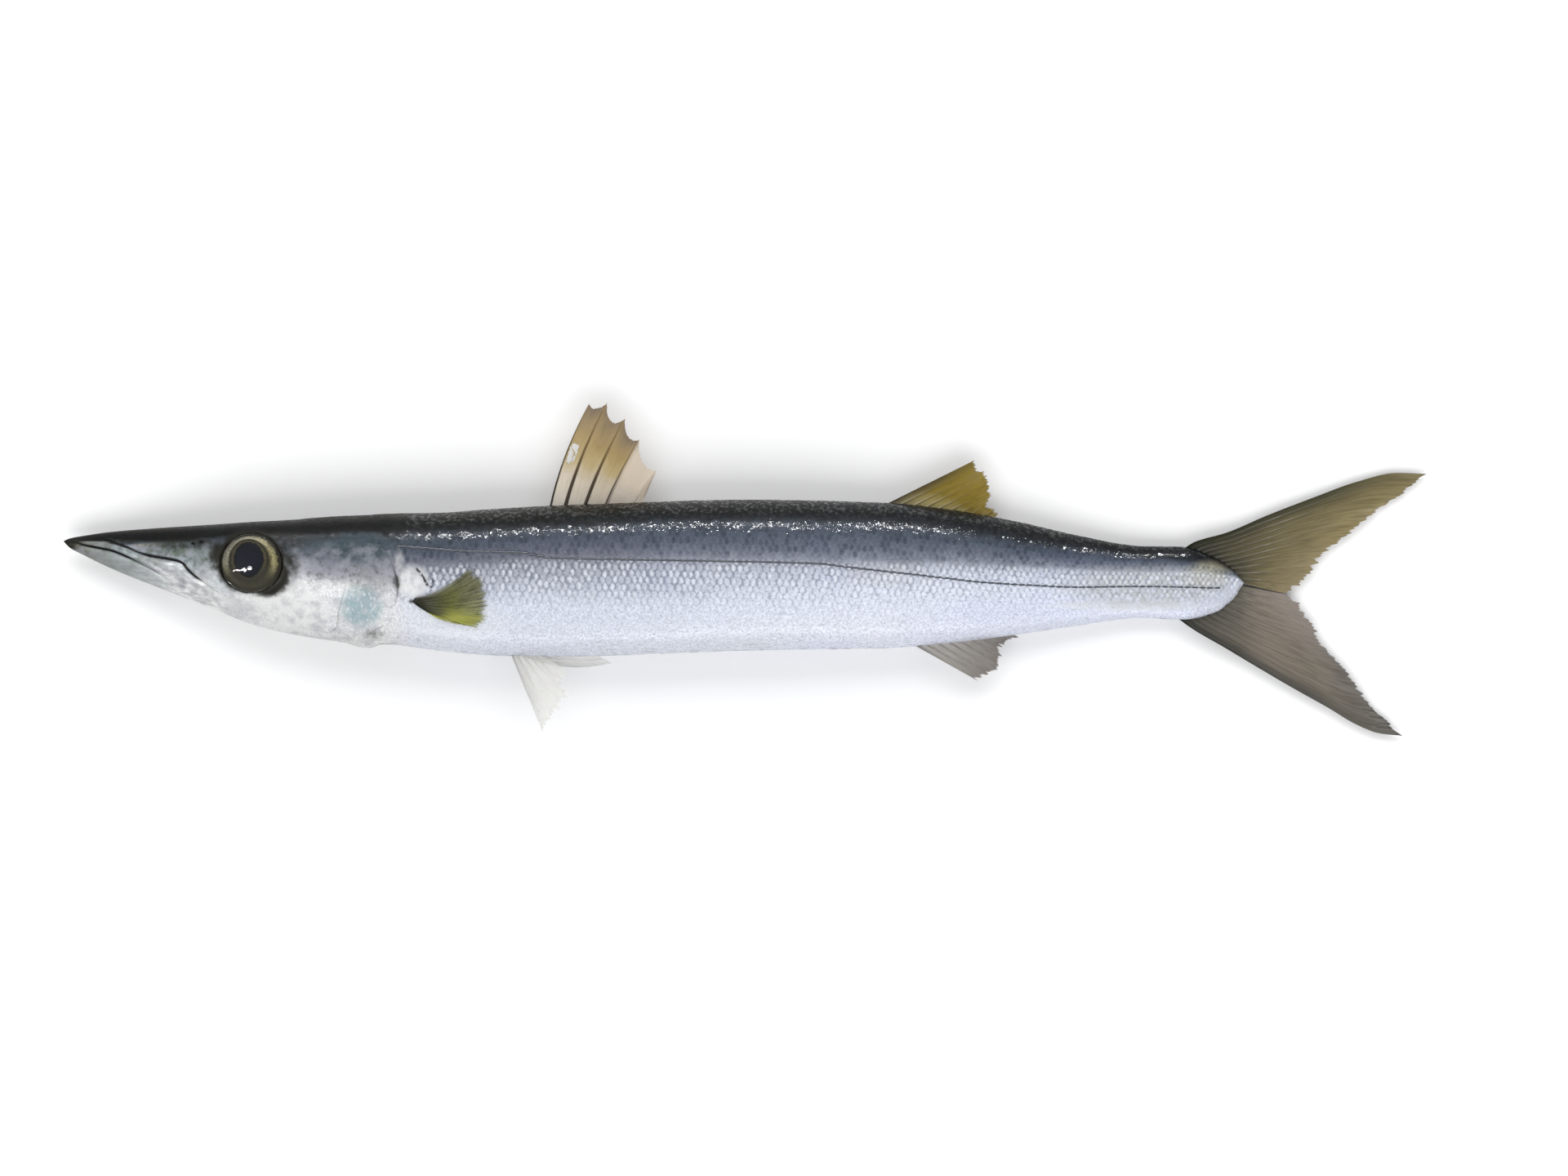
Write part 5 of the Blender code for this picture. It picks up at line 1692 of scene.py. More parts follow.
@dataclass
class Eye:
    """Eyeball with a sunk iris, a dark pupil and a clear dome over them."""

    form: BodyForm
    placement: Placement
    side: Flank
    bulge: float = 1.0
    dome: float = 2.0
    segments: int = 72
    pupil_shift: tuple = (-0.6, 0.9)
    pupil_share: float = 0.47
    pupil_tall: float = 0.25
    pupil_narrow: float = 0.22
    spread: float = 5.0

    def frame(self) -> tuple[Array, Array]:
        """Place of the eye and its axes, the last one outwards.

        Returns:
            Point on the flank, and the axes as rows.
        """
        def on_flank(x: float, y: float) -> Array:
            """Point of the flank seen from the side."""
            rise = self.form.flank_rise(np.array([x]), np.array([y]))[0]
            return np.array([x, y, self.form.level(np.array([x]))[0] + self.side.value * rise])

        x, y = EYE_CENTRE
        lengthwise = on_flank(x + self.spread, y) - on_flank(x - self.spread, y)
        upwards = on_flank(x, y + self.spread) - on_flank(x, y - self.spread)
        normal = np.cross(lengthwise, upwards) * self.side.value
        normal /= np.linalg.norm(normal)
        lengthwise -= normal * (lengthwise @ normal)
        lengthwise /= np.linalg.norm(lengthwise)
        return on_flank(x, y), np.array([lengthwise, np.cross(normal, lengthwise), normal])

    def surface(self, profile: Sequence[Pair], shift: bool) -> tuple[Array, Array, Array]:
        """Turn a profile round the eye's axis.

        Args:
            profile: Shares of the radius with heights over the flank, from the front centre backwards.
            shift: Whether the inner rings lie round the pupil's own centre.

        Returns:
            Points in fish millimetres, faces, and the place of each vertex on a flat disc.
        """
        origin, axes = self.frame()
        turns = 2.0 * np.pi * np.arange(self.segments) / self.segments
        points, marks = [], []
        for share, height in profile:
            move = (1.0 - ease(np.array(share), 0.45, 0.9)) if shift else 0.0
            slide = (1.0 - ease(np.array(share), 0.8, 1.0)) if shift else 0.0
            narrow = 1.0 - self.pupil_narrow * move * np.maximum(-np.sin(turns), 0.0) ** 1.5
            tall = 1.0 + self.pupil_tall * move
            a = share * EYE_RADII[0] * np.cos(turns) * narrow + self.pupil_shift[0] * slide
            b = share * EYE_RADII[1] * np.sin(turns) * tall + self.pupil_shift[1] * move
            points.append(np.stack([a, b, np.full_like(a, height)], axis=1))
            marks.append(0.5 + 0.5 * share * np.stack([np.cos(turns), np.sin(turns)], axis=1))
        local = np.concatenate(points)
        if self.side is Flank.RIGHT:
            local[:, 1] *= -1.0
        faces = tube_faces(len(profile), self.segments)
        return origin + local @ axes, faces, np.concatenate(marks)

    def closed(self, name: str, profile: Sequence[Pair], shift: bool, material: Material) -> Piece:
        """Make a closed body from a profile whose first and last rings shrink to points."""
        points, faces, marks = self.surface(profile, shift)
        mesh = mesh_from(name, self.placement.world(points), faces.tolist())
        outward = mesh.polygons[0].normal[2] * self.side.value > 0.0
        if not outward:
            mesh.flip_normals()
        store_map(mesh, "disc", marks)
        return add_piece(name, mesh, material)

    def iris_profile(self) -> list[Pair]:
        """Front of the lens, the hollow ring of the iris and the back of the ball."""
        front = [
            (share, 0.28 - 0.55 * (share / self.pupil_share) ** 2)
            for share in np.linspace(0.001, self.pupil_share, 10)]
        ring = [
            (self.pupil_share + 0.012, -0.42), (0.53, -0.35), (0.62, -0.3), (0.68, -0.33), (0.76, -0.44),
            (0.84, -0.62), (0.9, -0.86), (0.95, -1.1), (0.985, -1.36), (1.0, -1.62)]
        back = [(0.97, -2.4), (0.84, -3.4), (0.6, -4.3), (0.3, -4.8), (0.001, -4.95)]
        return front + ring + back

    def cornea_profile(self) -> list[Pair]:
        """Thin clear dome over the iris."""
        outer = [(share, self.bulge - self.dome * share ** 2) for share in np.linspace(0.001, 0.995, 16)]
        inner = [(share, height - 0.12) for share, height in outer[::-1]]
        return outer + inner

    def build(self, iris: Material, cornea: Material) -> None:
        """Make the ball and its dome."""
        ball = self.closed(f"eye_ball_{self.side.word}", self.iris_profile(), True, iris)
        hand_over(ball, "eye", f"eye_{self.side.word}")
        dome = self.closed(f"cornea_{self.side.word}", self.cornea_profile(), False, cornea)
        hand_over(dome, "eye")


# Fins

@dataclass(frozen=True)
class Sheet:
    """Grid of a fin: its middle surface, the half thickness, and what its finish reads."""

    points: Array
    half: Array
    ray: Array
    lead: Array
    kept: Array


def sheet_mesh(name: str, sheet: Sheet, placement: Placement) -> Mesh:
    """Close a fin's grid with two faces and a rim round what is kept of it.

    Args:
        name: Name of the mesh.
        sheet: Grid of the fin.
        placement: Where fish millimetres lie in the frame.

    Returns:
        Mesh with the fin's own map and attributes.
    """
    wide, deep = sheet.half.shape
    up = np.zeros_like(sheet.points)
    up[..., 2] = sheet.half
    corners = np.concatenate([(sheet.points + up).reshape(-1, 3), (sheet.points - up).reshape(-1, 3)])
    numbers = np.arange(wide * deep).reshape(wide, deep)
    a, b, c, d = numbers[:-1, :-1], numbers[1:, :-1], numbers[1:, 1:], numbers[:-1, 1:]
    kept = sheet.kept
    back = wide * deep
    top = [np.stack([a[kept], b[kept], c[kept]], 1), np.stack([a[kept], c[kept], d[kept]], 1)]
    bottom = [triangles[:, [0, 2, 1]] + back for triangles in top]
    framed = np.pad(kept, 1)
    inner = framed[1:-1, 1:-1]
    walls = []
    for first, second, beyond in (
            (a, b, framed[1:-1, :-2]), (b, c, framed[2:, 1:-1]), (c, d, framed[1:-1, 2:]),
            (d, a, framed[:-2, 1:-1])):
        edge = inner & ~beyond
        p, q = first[edge], second[edge]
        walls += [np.stack([p, p + back, q + back], 1), np.stack([p, q + back, q], 1)]
    faces = np.concatenate(top + bottom + walls)
    used, renumbered = np.unique(faces, return_inverse=True)
    mesh = mesh_from(name, placement.world(corners[used]), renumbered.reshape(-1, 3).tolist())
    if mesh.polygons[0].normal[2] < 0.0:
        mesh.flip_normals()
    for key, values in (("ray", sheet.ray), ("lead", sheet.lead)):
        store_values(mesh, key, np.tile(values.ravel(), 2)[used])
    across, length = np.meshgrid(np.linspace(0, 1, wide), np.linspace(0, 1, deep), indexing="ij")
    marks = np.tile(np.stack([across.ravel(), length.ravel()], axis=1), (2, 1))[used]
    store_map(mesh, "fin", marks)
    return mesh


class Fin:
    """What all fins share: the way from a grid to a piece in the place of its solid."""

    def build(self, form: BodyForm, placement: Placement) -> None:
        """Make the fin and dress it."""
        piece = add_piece(self.name, sheet_mesh(self.name, self.grid(form), placement), self.finish.build())
        hand_over(piece, self.slot, self.node)


@dataclass
class SoftFin(Fin):
    """Fin of branched rays in a thin membrane, with worn tips."""

    name: str
    roots: Line
    margin: Line
    rays: int
    finish: FinFinish
    slot: str
    node: str
    level: Level
    edge: Line | None = None
    bow: tuple = (0.0, 0.0)
    per_ray: int = 12
    rows: int = 56
    web_half: float = 0.08
    ray_half: float = 0.34
    fork: float = 0.34
    second_fork: float = 0.62
    wear: float = 1.4
    notch: float = 1.3
    ripple: float = 0.22
    most_cut: float = 0.35
    floor_gap: float = 0.05
    first_thick: float = 1.5
    lead_reach: float = 0.9
    seed: int = 21

    def branches(self, length: Array) -> list[tuple[Array, Array]]:
        """Where the four tips of one ray lie beside it, in ray spacings, and how thick they are.

        Args:
            length: Share of the way from root to tip.

        Returns:
            Offset and thickness of each branch.
        """
        apart = 0.25 * ease(length, self.fork, 1.0)
        finer = 0.11 * ease(length, self.second_fork, 1.0)
        thick = (1.0 - 0.72 * length) * (1.0 - 0.35 * ease(length, self.fork, self.second_fork))
        return [(one * apart + two * finer, thick) for one in (-1.0, 1.0) for two in (-1.0, 1.0)]

    def ridges(self, across: Array, length: Array) -> Array:
        """Share of ray against membrane over the grid, 1 on the crest of a ray."""
        place = across * (self.rays - 1)
        offset = place - np.round(place)
        crest = np.zeros_like(place)
        wide = 0.17 - 0.08 * length
        for beside, thick in self.branches(length):
            crest = np.maximum(crest, thick * bell(offset - beside, wide))
        return crest

    def grid(self, form: BodyForm) -> Sheet:
        """Work out the grid of the fin.

        Args:
            form: Form of the fish, not used here.

        Returns:
            The grid.
        """
        chance = np.random.default_rng(self.seed)
        wide = (self.rays - 1) * self.per_ray + 1
        across, length = np.meshgrid(np.linspace(0, 1, wide), np.linspace(0, 1, self.rows), indexing="ij")
        root, tip = along(self.roots, across[:, 0]), along(self.margin, across[:, 0])
        crest_end = self.ridges(across[:, -1], np.ones(wide))
        worn = self.wear * chance.random(4 * self.rays)
        branch = np.clip((across[:, 0] * (self.rays - 1) * 4.0).astype(int), 0, 4 * self.rays - 1)
        cut = worn[branch] + self.notch * (1.0 - np.clip(crest_end / 0.25, 0.0, 1.0))
        cut *= ease(across[:, 0], 0.0, 0.02)
        reach = np.linalg.norm(tip - root, axis=1)
        end = root + (tip - root) * (1.0 - np.minimum(cut / reach, self.most_cut))[:, None]
        straight = root[:, None, :] + (end - root)[:, None, :] * length[..., None]
        share = (1.0 - across) ** 2
        if self.edge is not None:
            chord = (
                np.array(self.edge[0])[None, :] * (1 - length[0])[:, None]
                + np.array(self.edge[-1])[None, :] * length[0][:, None])
            curved = along(rounded(self.edge), length[0]) - chord
            straight = straight + curved[None, :, :] * share[..., None]
        else:
            hump = 4.0 * length * (1.0 - length) * (1.0 - across)
            straight = straight + np.array(self.bow)[None, None, :] * hump[..., None]
        crest = self.ridges(across, length)
        first = bell(across * (self.rays - 1), 0.3)
        half = self.web_half + self.ray_half * crest * (1.0 - 0.8 * length)
        half += self.ray_half * (self.first_thick - 1.0) * first * (1.0 - 0.75 * length)
        wave = self.ripple * length ** 2 * np.sin(across * 17.0 + length * 5.0 + self.seed)
        height = self.level(straight[..., 0], straight[..., 1], length) + wave
        height = np.maximum(height, half + self.floor_gap)
        points = np.concatenate([straight, height[..., None]], axis=2)
        lead = bell(across * (self.rays - 1), self.lead_reach)
        kept = np.ones((wide - 1, self.rows - 1), bool)
        return Sheet(points, half, np.clip(crest * 1.4, 0.0, 1.0), lead, kept)


@dataclass(frozen=True)
class Spine:
    """One spine of the first dorsal fin: where it leaves the back, and its tip."""

    root_x: float
    tip_x: float
    tip_y: float
    radius: float


@dataclass
class SpinyFin(Fin):
    """First dorsal fin: five spines with a torn, drawn-in membrane between them."""

    finish: FinFinish
    name: str = "first_dorsal"
    slot: str = "fin_olive"
    node: str = "fin_dorsal_first"
    spines: tuple = (
        Spine(132.0, 142.2, 47.2, 0.62), Spine(136.2, 147.1, 47.5, 0.58), Spine(141.5, 152.0, 43.3, 0.55),
        Spine(147.2, 155.8, 37.5, 0.5), Spine(154.2, 160.4, 29.0, 0.42), Spine(156.6, 157.4, 22.4, 0.1))
    seed: int = 31
    between: int = 30
    rows: int = 120
    web_half: float = 0.07
    bow: float = 1.3
    sunk: float = 2.2
    fray: float = 0.012
    droop: float = 1.5
    ripple: float = 0.35
    drawn_in: tuple = (0.05, 0.11, 0.1, 0.15, 0.02)
    tear: tuple = ((137.8, 33.7), (1.15, 2.5))

    def ray(self, spine: Spine, form: BodyForm) -> tuple[Array, Array]:
        """Sunk root and tip of a spine."""
        tip = np.array([spine.tip_x, spine.tip_y])
        surface = np.array([spine.root_x, form.one("top", spine.root_x)])
        run = tip - surface
        return surface - run * (self.sunk / abs(run[1])), tip

    def grid(self, form: BodyForm) -> Sheet:
        """Work out the grid of the fin.

        Args:
            form: Form of the fish.

        Returns:
            The grid.
        """
        rays = [self.ray(spine, form) for spine in self.spines]
        length = np.linspace(0.0, 1.0, self.rows)
        chance = np.random.default_rng(self.seed)
        parts = (1.0 - np.cos(np.pi * np.arange(self.between) / self.between)) / 2.0
        columns, beside, radii = [], [], []
        for i, ((root, tip), (next_root, next_tip)) in enumerate(zip(rays, rays[1:])):
            for part in parts:
                low, high = root + (next_root - root) * part, tip + (next_tip - tip) * part
                pull = self.drawn_in[i] * (4.0 * part * (1.0 - part)) ** 0.8
                pull += self.fray * chance.random() if part > 0.0 else 0.0
                high = high + (low - high) * pull
                share = 1.0 - (i + part) / (len(rays) - 1)
                bow = -self.bow * share * 4.0 * length * (1.0 - length)
                path = low + (high - low) * length[:, None]
                path[:, 0] += bow
                columns.append(path)
                nearer = part < 0.5
                apart = np.linalg.norm(
                    (next_root - root)[None] * (1 - length)[:, None]
                    + (next_tip - tip)[None] * length[:, None], axis=1)
                beside.append(apart * min(part, 1.0 - part))
                radii.append(self.spines[i if nearer else i + 1].radius)
        columns.append(rays[-1][0] + (rays[-1][1] - rays[-1][0]) * length[:, None])
        beside.append(np.zeros(self.rows))
        radii.append(self.spines[-1].radius)
        flat, gap = np.array(columns), np.array(beside)
        radius = np.array(radii)[:, None] * (1.0 - 0.72 * length)[None, :]
        rod = np.sqrt(np.clip(1.0 - (gap / radius) ** 2, 0.0, 1.0))
        half = self.web_half + radius * rod
        wave = self.ripple * np.sin(np.arange(len(flat)) * 0.21)[:, None] * length[None, :]
        height = form.level(flat[..., 0]) - self.droop * length[None, :] ** 2 + wave
        points = np.concatenate([flat, height[..., None]], axis=2)
        lead = bell(gap, 0.4) * (np.arange(len(flat)) < self.between / 2)[:, None]
        centre = (flat[:-1, :-1] + flat[1:, 1:]) / 2.0
        across, up = (centre[..., i] - self.tear[0][i] for i in (0, 1))
        slant = across - 0.3 * up
        out = (
            (slant / self.tear[1][0]) ** 4 + (up / self.tear[1][1]) ** 4
            + 0.3 * np.sin(up * 5.0 + slant * 3.0))
        strand = (np.abs(up + 1.3 * slant - 0.5) < 0.17) | ((np.abs(slant - 0.35) < 0.1) & (up < 0.4))
        kept = (out > 1.0) | strand
        return Sheet(points, half, ease(gap / np.maximum(radius, 0.12), 1.15, 0.8), lead, kept)


FIRST_DORSAL_FINISH = FinFinish(
    "first_dorsal", web=((0.0, 0.86, 0.78, 0.66), (0.34, 0.78, 0.67, 0.5), (0.5, 0.56, 0.44, 0.2),
                         (0.72, 0.42, 0.3, 0.1), (0.86, 0.36, 0.255, 0.1), (1.0, 0.22, 0.155, 0.085)),
    rays=((0.0, 0.032, 0.022, 0.014), (0.35, 0.07, 0.045, 0.02), (0.6, 0.2, 0.13, 0.04),
          (1.0, 0.36, 0.25, 0.1)),
    lead=(0.05, 0.034, 0.02), opacity=((0.0, 0.36), (0.4, 0.42), (0.58, 0.66), (1.0, 0.74)), streak=0.2,
    ray_share=1.0, lead_share=0.5, rear=(0.76, 0.67, 0.56), rear_share=0.85, rear_across=(0.57, 0.66),
    rear_along=(0.0, 0.1))
SECOND_DORSAL_FINISH = FinFinish(
    "second_dorsal", web=((0.0, 0.42, 0.36, 0.17), (0.3, 0.44, 0.36, 0.12), (0.5, 0.27, 0.19, 0.012),
                          (1.0, 0.3, 0.215, 0.012)),
    rays=((0.0, 0.18, 0.14, 0.06), (0.4, 0.15, 0.11, 0.02), (1.0, 0.17, 0.12, 0.01)),
    lead=(0.04, 0.03, 0.012), opacity=((0.0, 0.75), (0.6, 0.88), (1.0, 0.82)), streak=0.4, ray_share=0.55)
ANAL_FINISH = FinFinish(
    "anal_fin", web=((0.0, 0.55, 0.52, 0.46), (0.5, 0.34, 0.31, 0.27), (1.0, 0.22, 0.19, 0.165)),
    rays=((0.0, 0.34, 0.31, 0.27), (0.6, 0.13, 0.115, 0.1), (1.0, 0.12, 0.1, 0.09)),
    lead=(0.3, 0.28, 0.24), opacity=((0.0, 0.45), (0.6, 0.62), (1.0, 0.72)), streak=0.5)
PELVIC_FINISH = FinFinish(
    "pelvic_fin", web=((0.0, 0.74, 0.73, 0.69), (1.0, 0.76, 0.75, 0.7)),
    rays=((0.0, 0.6, 0.58, 0.54), (1.0, 0.66, 0.64, 0.6)), lead=(0.26, 0.25, 0.22),
    opacity=((0.0, 0.42), (1.0, 0.34)), streak=0.15, ray_share=0.5, lead_share=0.45)
PECTORAL_FINISH = FinFinish(
    "pectoral_fin", web=((0.0, 0.02, 0.02, 0.015), (0.2, 0.045, 0.046, 0.022), (0.42, 0.1, 0.105, 0.026),
                         (0.65, 0.19, 0.2, 0.035), (1.0, 0.4, 0.4, 0.2)),
    rays=((0.0, 0.012, 0.011, 0.008), (0.4, 0.03, 0.032, 0.008), (0.75, 0.085, 0.088, 0.022),
          (1.0, 0.04, 0.036, 0.022)),
    lead=(0.42, 0.43, 0.38), opacity=((0.0, 1.0), (0.3, 0.98), (0.6, 0.92), (1.0, 0.5)), streak=1.0,
    ray_share=0.85, lead_share=0.5, rear=(0.44, 0.45, 0.075), rear_share=0.9, rear_across=(0.38, 0.62),
    rear_along=(0.38, 0.72), sheer=0.75)
TAIL_UPPER_FINISH = FinFinish(
    "tail_upper", web=((0.0, 0.035, 0.034, 0.026), (0.12, 0.06, 0.055, 0.033), (0.4, 0.15, 0.125, 0.058),
                       (0.7, 0.24, 0.2, 0.095), (1.0, 0.36, 0.295, 0.135)),
    rays=((0.0, 0.03, 0.03, 0.022), (0.4, 0.085, 0.072, 0.03), (1.0, 0.22, 0.17, 0.07)),
    lead=(0.028, 0.03, 0.014), opacity=((0.0, 1.0), (0.5, 0.97), (1.0, 0.85)), streak=0.6, ray_share=0.6,
    rear=(0.3, 0.24, 0.165), rear_share=0.4)
TAIL_LOWER_FINISH = FinFinish(
    "tail_lower", web=((0.0, 0.05, 0.05, 0.045), (0.15, 0.13, 0.12, 0.095), (0.45, 0.25, 0.215, 0.17),
                       (0.8, 0.25, 0.22, 0.175), (1.0, 0.19, 0.175, 0.155)),
    rays=((0.0, 0.05, 0.05, 0.042), (0.4, 0.12, 0.105, 0.08), (1.0, 0.15, 0.135, 0.115)),
    lead=(0.038, 0.04, 0.036), opacity=((0.0, 1.0), (0.5, 0.95), (1.0, 0.85)), streak=0.6, ray_share=0.6,
    rear=(0.4, 0.34, 0.3), rear_share=0.6)

TAIL_TOP_EDGE = (
    (301.0, 6.6), (306.0, 9.9), (314.4, 12.3), (326.0, 17.2), (339.5, 22.4), (350.0, 26.2), (360.8, 28.6),
    (368.9, 28.3))
TAIL_LOW_EDGE = (
    (298.5, -8.6), (304.7, -13.4), (314.4, -19.1), (323.4, -24.5), (332.0, -29.6), (342.1, -35.3),
    (350.0, -40.0), (356.0, -42.3), (362.3, -43.0))
TAIL_TOP_MARGIN = (
    (368.9, 28.3), (364.0, 23.6), (357.1, 19.1), (347.6, 11.2), (341.7, 6.8), (338.8, 2.2), (336.0, -1.2),
    (332.2, -4.5))
TAIL_LOW_MARGIN = (
    (362.3, -42.7), (359.3, -39.4), (354.9, -35.2), (347.6, -25.1), (342.5, -19.4), (337.9, -11.2),
    (335.3, -6.9), (332.2, -4.7))
TAIL_TOP_ROOTS = ((301.0, 6.6), (307.0, 4.8), (313.0, 1.6), (316.4, -1.0))
TAIL_LOW_ROOTS = ((298.5, -8.6), (307.0, -7.9), (313.0, -4.4), (316.4, -1.6))


@dataclass
class Fins:
    """All the fins, each in the place of its solid."""

    form: BodyForm
    placement: Placement
    root_sunk: float = 1.7
    root_share: float = 0.07

    def sunk_roots(self, ends: Pair, edge: str, depth: float) -> Line:
        """Two ends of a fin's base, sunk into the body."""
        sign = -1.0 if edge == "top" else 1.0
        return [(x, self.form.one(edge, x) + sign * depth) for x in ends]

    def flat_level(self, fall: float) -> Level:
        """Height of a fin that stands in the middle plane and droops at its tips."""
        return lambda x, y, length: self.form.level(x) - fall * length ** 2

    def beside_level(self, side: Flank, off: float, spread: float) -> Level:
        """Height of a fin that stands beside the middle plane."""
        return lambda x, y, length: self.form.level(x) + side.value * (off + spread * length)

    def flank_level(self, side: Flank, stand_off: float) -> Level:
        """Height of a fin that lies back over the flank, its root sunk in it."""
        def height(x: Array, y: Array, length: Array) -> Array:
            """Height of the fin."""
            sunk = self.root_sunk * np.clip(self.root_share - length, 0.0, self.root_share) / self.root_share
            return self.form.level(x) + side.value * (self.form.flank_rise(x, y) + (stand_off - sunk))
        return height

    def soft_fins(self) -> list[SoftFin]:
        """Sizes and finishes of the fins with branched rays."""
        second_roots = self.sunk_roots((219.6, 250.0), "top", 1.8)
        anal_roots = self.sunk_roots((227.6, 254.6), "bottom", 1.8)
        pelvic_roots = self.sunk_roots((120.9, 127.6), "bottom", 1.6)
        fins = [
            SoftFin(
                "second_dorsal", second_roots,
                ((246.2, 31.9), (247.6, 29.8), (249.4, 28.9), (250.4, 26.5), (251.1, 22.4), (250.0, 20.0),
                 (253.4, 18.2)), 10, SECOND_DORSAL_FINISH, "fin_yellow", "fin_dorsal_second",
                self.flat_level(0.8), wear=1.0, notch=0.9, seed=22),
            SoftFin(
                "anal_fin", anal_roots,
                ((247.0, -27.7), (250.1, -26.5), (253.2, -24.8), (253.9, -21.7), (253.9, -18.8),
                 (258.8, -16.3)), 10, ANAL_FINISH, "fin_pale", "fin_anal", self.flat_level(0.8), wear=1.3,
                notch=1.0, seed=23),
            SoftFin(
                "pelvic_fin_left", pelvic_roots,
                ((129.9, -41.6), (132.6, -38.6), (134.9, -35.2), (137.2, -32.8), (135.1, -28.5),
                 (137.4, -25.3)), 6, PELVIC_FINISH, "fin_pale", "fin_pelvic_left",
                self.beside_level(Flank.LEFT, 2.6, 0.8), wear=1.6, notch=1.2, seed=24),
            SoftFin(
                "pelvic_fin_right", pelvic_roots,
                ((148.2, -22.9), (147.0, -22.0), (144.5, -20.7), (141.0, -19.0)), 6, PELVIC_FINISH,
                "fin_pale", "fin_pelvic_right", self.beside_level(Flank.RIGHT, 2.6, 0.8), bow=(0.0, -2.6),
                wear=0.6, notch=0.5, seed=25),
        ]
        for side in Flank:
            fins.append(SoftFin(
                f"pectoral_fin_{side.word}", ((95.6, -5.3), (94.6, -6.1), (96.4, -7.3)),
                ((111.9, 3.4), (113.6, 2.4), (115.8, 0.6), (116.9, -3.2), (117.3, -7.9), (116.7, -11.7),
                 (113.9, -13.9), (104.4, -12.4)), 13, PECTORAL_FINISH, "fin_yellow",
                f"fin_pectoral_{side.word}", self.flank_level(side, 0.65), bow=(-0.6, -1.9), wear=1.6,
                notch=3.4, ray_half=0.2, ripple=0.1, seed=26))
        for name, edge, roots, margin, finish, seed in (
                ("upper", TAIL_TOP_EDGE, TAIL_TOP_ROOTS, TAIL_TOP_MARGIN, TAIL_UPPER_FINISH, 27),
                ("lower", TAIL_LOW_EDGE, TAIL_LOW_ROOTS, TAIL_LOW_MARGIN, TAIL_LOWER_FINISH, 28)):
            fins.append(SoftFin(
                f"tail_fin_{name}", roots, margin, 12, finish, "fin_olive", f"fin_tail_{name}",
                self.flat_level(0.0), edge=edge, rows=90, ray_half=0.5, wear=1.6, notch=1.5, ripple=0.3,
                first_thick=1.9, lead_reach=1.7, seed=seed))
        return fins

    def build(self) -> None:
        """Make every fin."""
        SpinyFin(FIRST_DORSAL_FINISH).build(self.form, self.placement)
        for fin in self.soft_fins():
            fin.build(self.form, self.placement)


# Studio

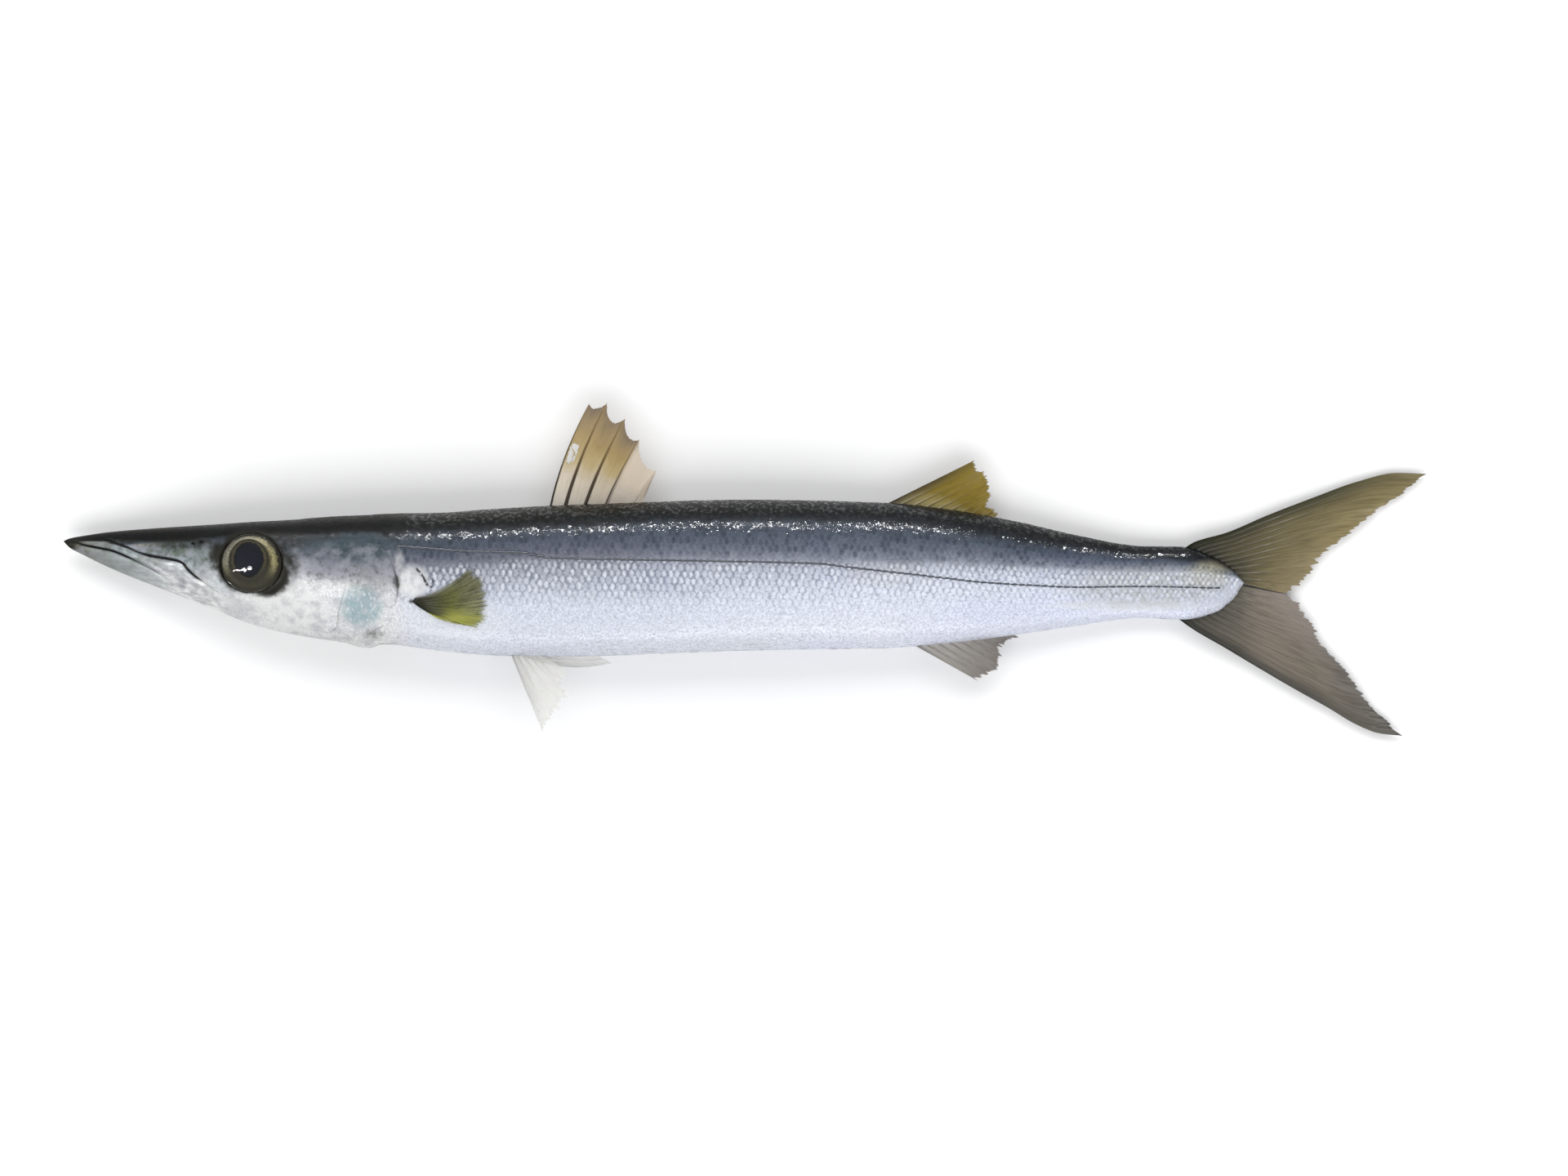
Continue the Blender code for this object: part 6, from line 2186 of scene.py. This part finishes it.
@dataclass
class Studio:
    """Plain pale floor, soft light and a camera straight above the fish."""

    placement: Placement
    picture_centre: tuple = (194.7, -2.64)
    picture_width: float = 422.4
    plane: float = 14.0
    camera_height: float = 2000.0
    sensor: float = 36.0
    floor_size: float = 8.0

    def camera(self) -> None:
        """Set the camera so that the picture takes in the same width as the photograph."""
        data = bpy.data.cameras.new("camera")
        data.sensor_width = self.sensor
        data.lens = self.sensor * self.camera_height / self.picture_width
        data.clip_end = 20.0
        camera = linked("camera", data)
        x, y = self.picture_centre
        camera.location = self.placement.world(np.array([x, y, self.plane + self.camera_height]))
        bpy.context.scene.camera = camera

    def floor(self) -> None:
        """Lay the floor."""
        half = self.floor_size / 2.0
        corners = np.array([(-half, -half, 0.0), (half, -half, 0.0), (half, half, 0.0), (-half, half, 0.0)])
        piece = add_piece("floor", mesh_from("floor", corners, [(0, 1, 2, 3)]), FloorFinish().build())

    def lamp(
            self, name: str, size: Pair, power: float, distance: float, off: float, turn: float,
            soft: bool) -> None:
        """Hang an area lamp that faces the fish.

        Args:
            name: Name of the lamp.
            size: Its length along the fish and its width.
            power: Watts.
            distance: Metres from the fish.
            off: Degrees off the vertical.
            turn: Degrees round the vertical, 90 behind the back and -90 before the belly.
            soft: Whether it only lights, or else only shines on what is wet.
        """
        data = bpy.data.lights.new(name, "AREA")
        data.shape = "RECTANGLE"
        data.size, data.size_y = size
        data.energy = power
        lamp = linked(name, data)
        lamp.visible_glossy = not soft
        lamp.visible_diffuse = soft
        tilt, swing = math.radians(off), math.radians(turn)
        aside = distance * math.sin(tilt)
        lamp.location = (aside * math.cos(swing), aside * math.sin(swing), distance * math.cos(tilt))
        lamp.rotation_euler = (tilt, 0.0, swing + math.pi / 2.0)

    def lights(self) -> None:
        """Hang the lamps and set the sky."""
        self.lamp("front", (1.8, 1.1), 16.5, 1.5, 34.0, -90.0, True)
        self.lamp("back", (1.8, 0.9), 14.5, 1.5, 38.0, 90.0, True)
        self.lamp("back_strip", (1.1, 0.02), 13.0, 1.1, 56.0, 90.0, False)
        self.lamp("belly_strip", (1.1, 0.25), 4.0, 1.2, 72.0, -90.0, False)
        self.lamp("eye_glint", (0.05, 0.7), 9.0, 1.2, 46.0, 192.0, False)
        world = bpy.data.worlds.new("studio")
        world.use_nodes = True
        sky = world.node_tree.nodes["Background"]
        sky.inputs["Color"].default_value = (0.97, 0.98, 1.0, 1.0)
        sky.inputs["Strength"].default_value = 0.40
        bpy.context.scene.world = world
        bpy.context.scene.view_settings.view_transform = "Standard"

    def build(self) -> None:
        """Set up the studio."""
        self.camera()
        self.floor()
        self.lights()


def main() -> None:
    """Load the frame and build every sub-assembly round it."""
    logging.basicConfig(level=logging.INFO, format="%(name)s %(message)s")
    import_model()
    form = BodyForm()
    placement = Placement.from_frame(form)
    LOG.info("fish lies at %.2f, %.2f mm", placement.shift_x, placement.shift_y)
    relief = Relief()
    markings = Markings(form, relief)
    Studio(placement).build()
    Skin(form, relief, markings, placement).build()
    tree = PlateTree()
    ScaleCoat(form, placement, relief, markings, tree).build()
    LateralLine(form, placement, tree).build()
    iris, cornea = IrisFinish().build(), CorneaFinish().build()
    for side in Flank:
        Eye(form, placement, side).build(iris, cornea)
    Fins(form, placement).build()


if __name__ == "__main__":
    main()
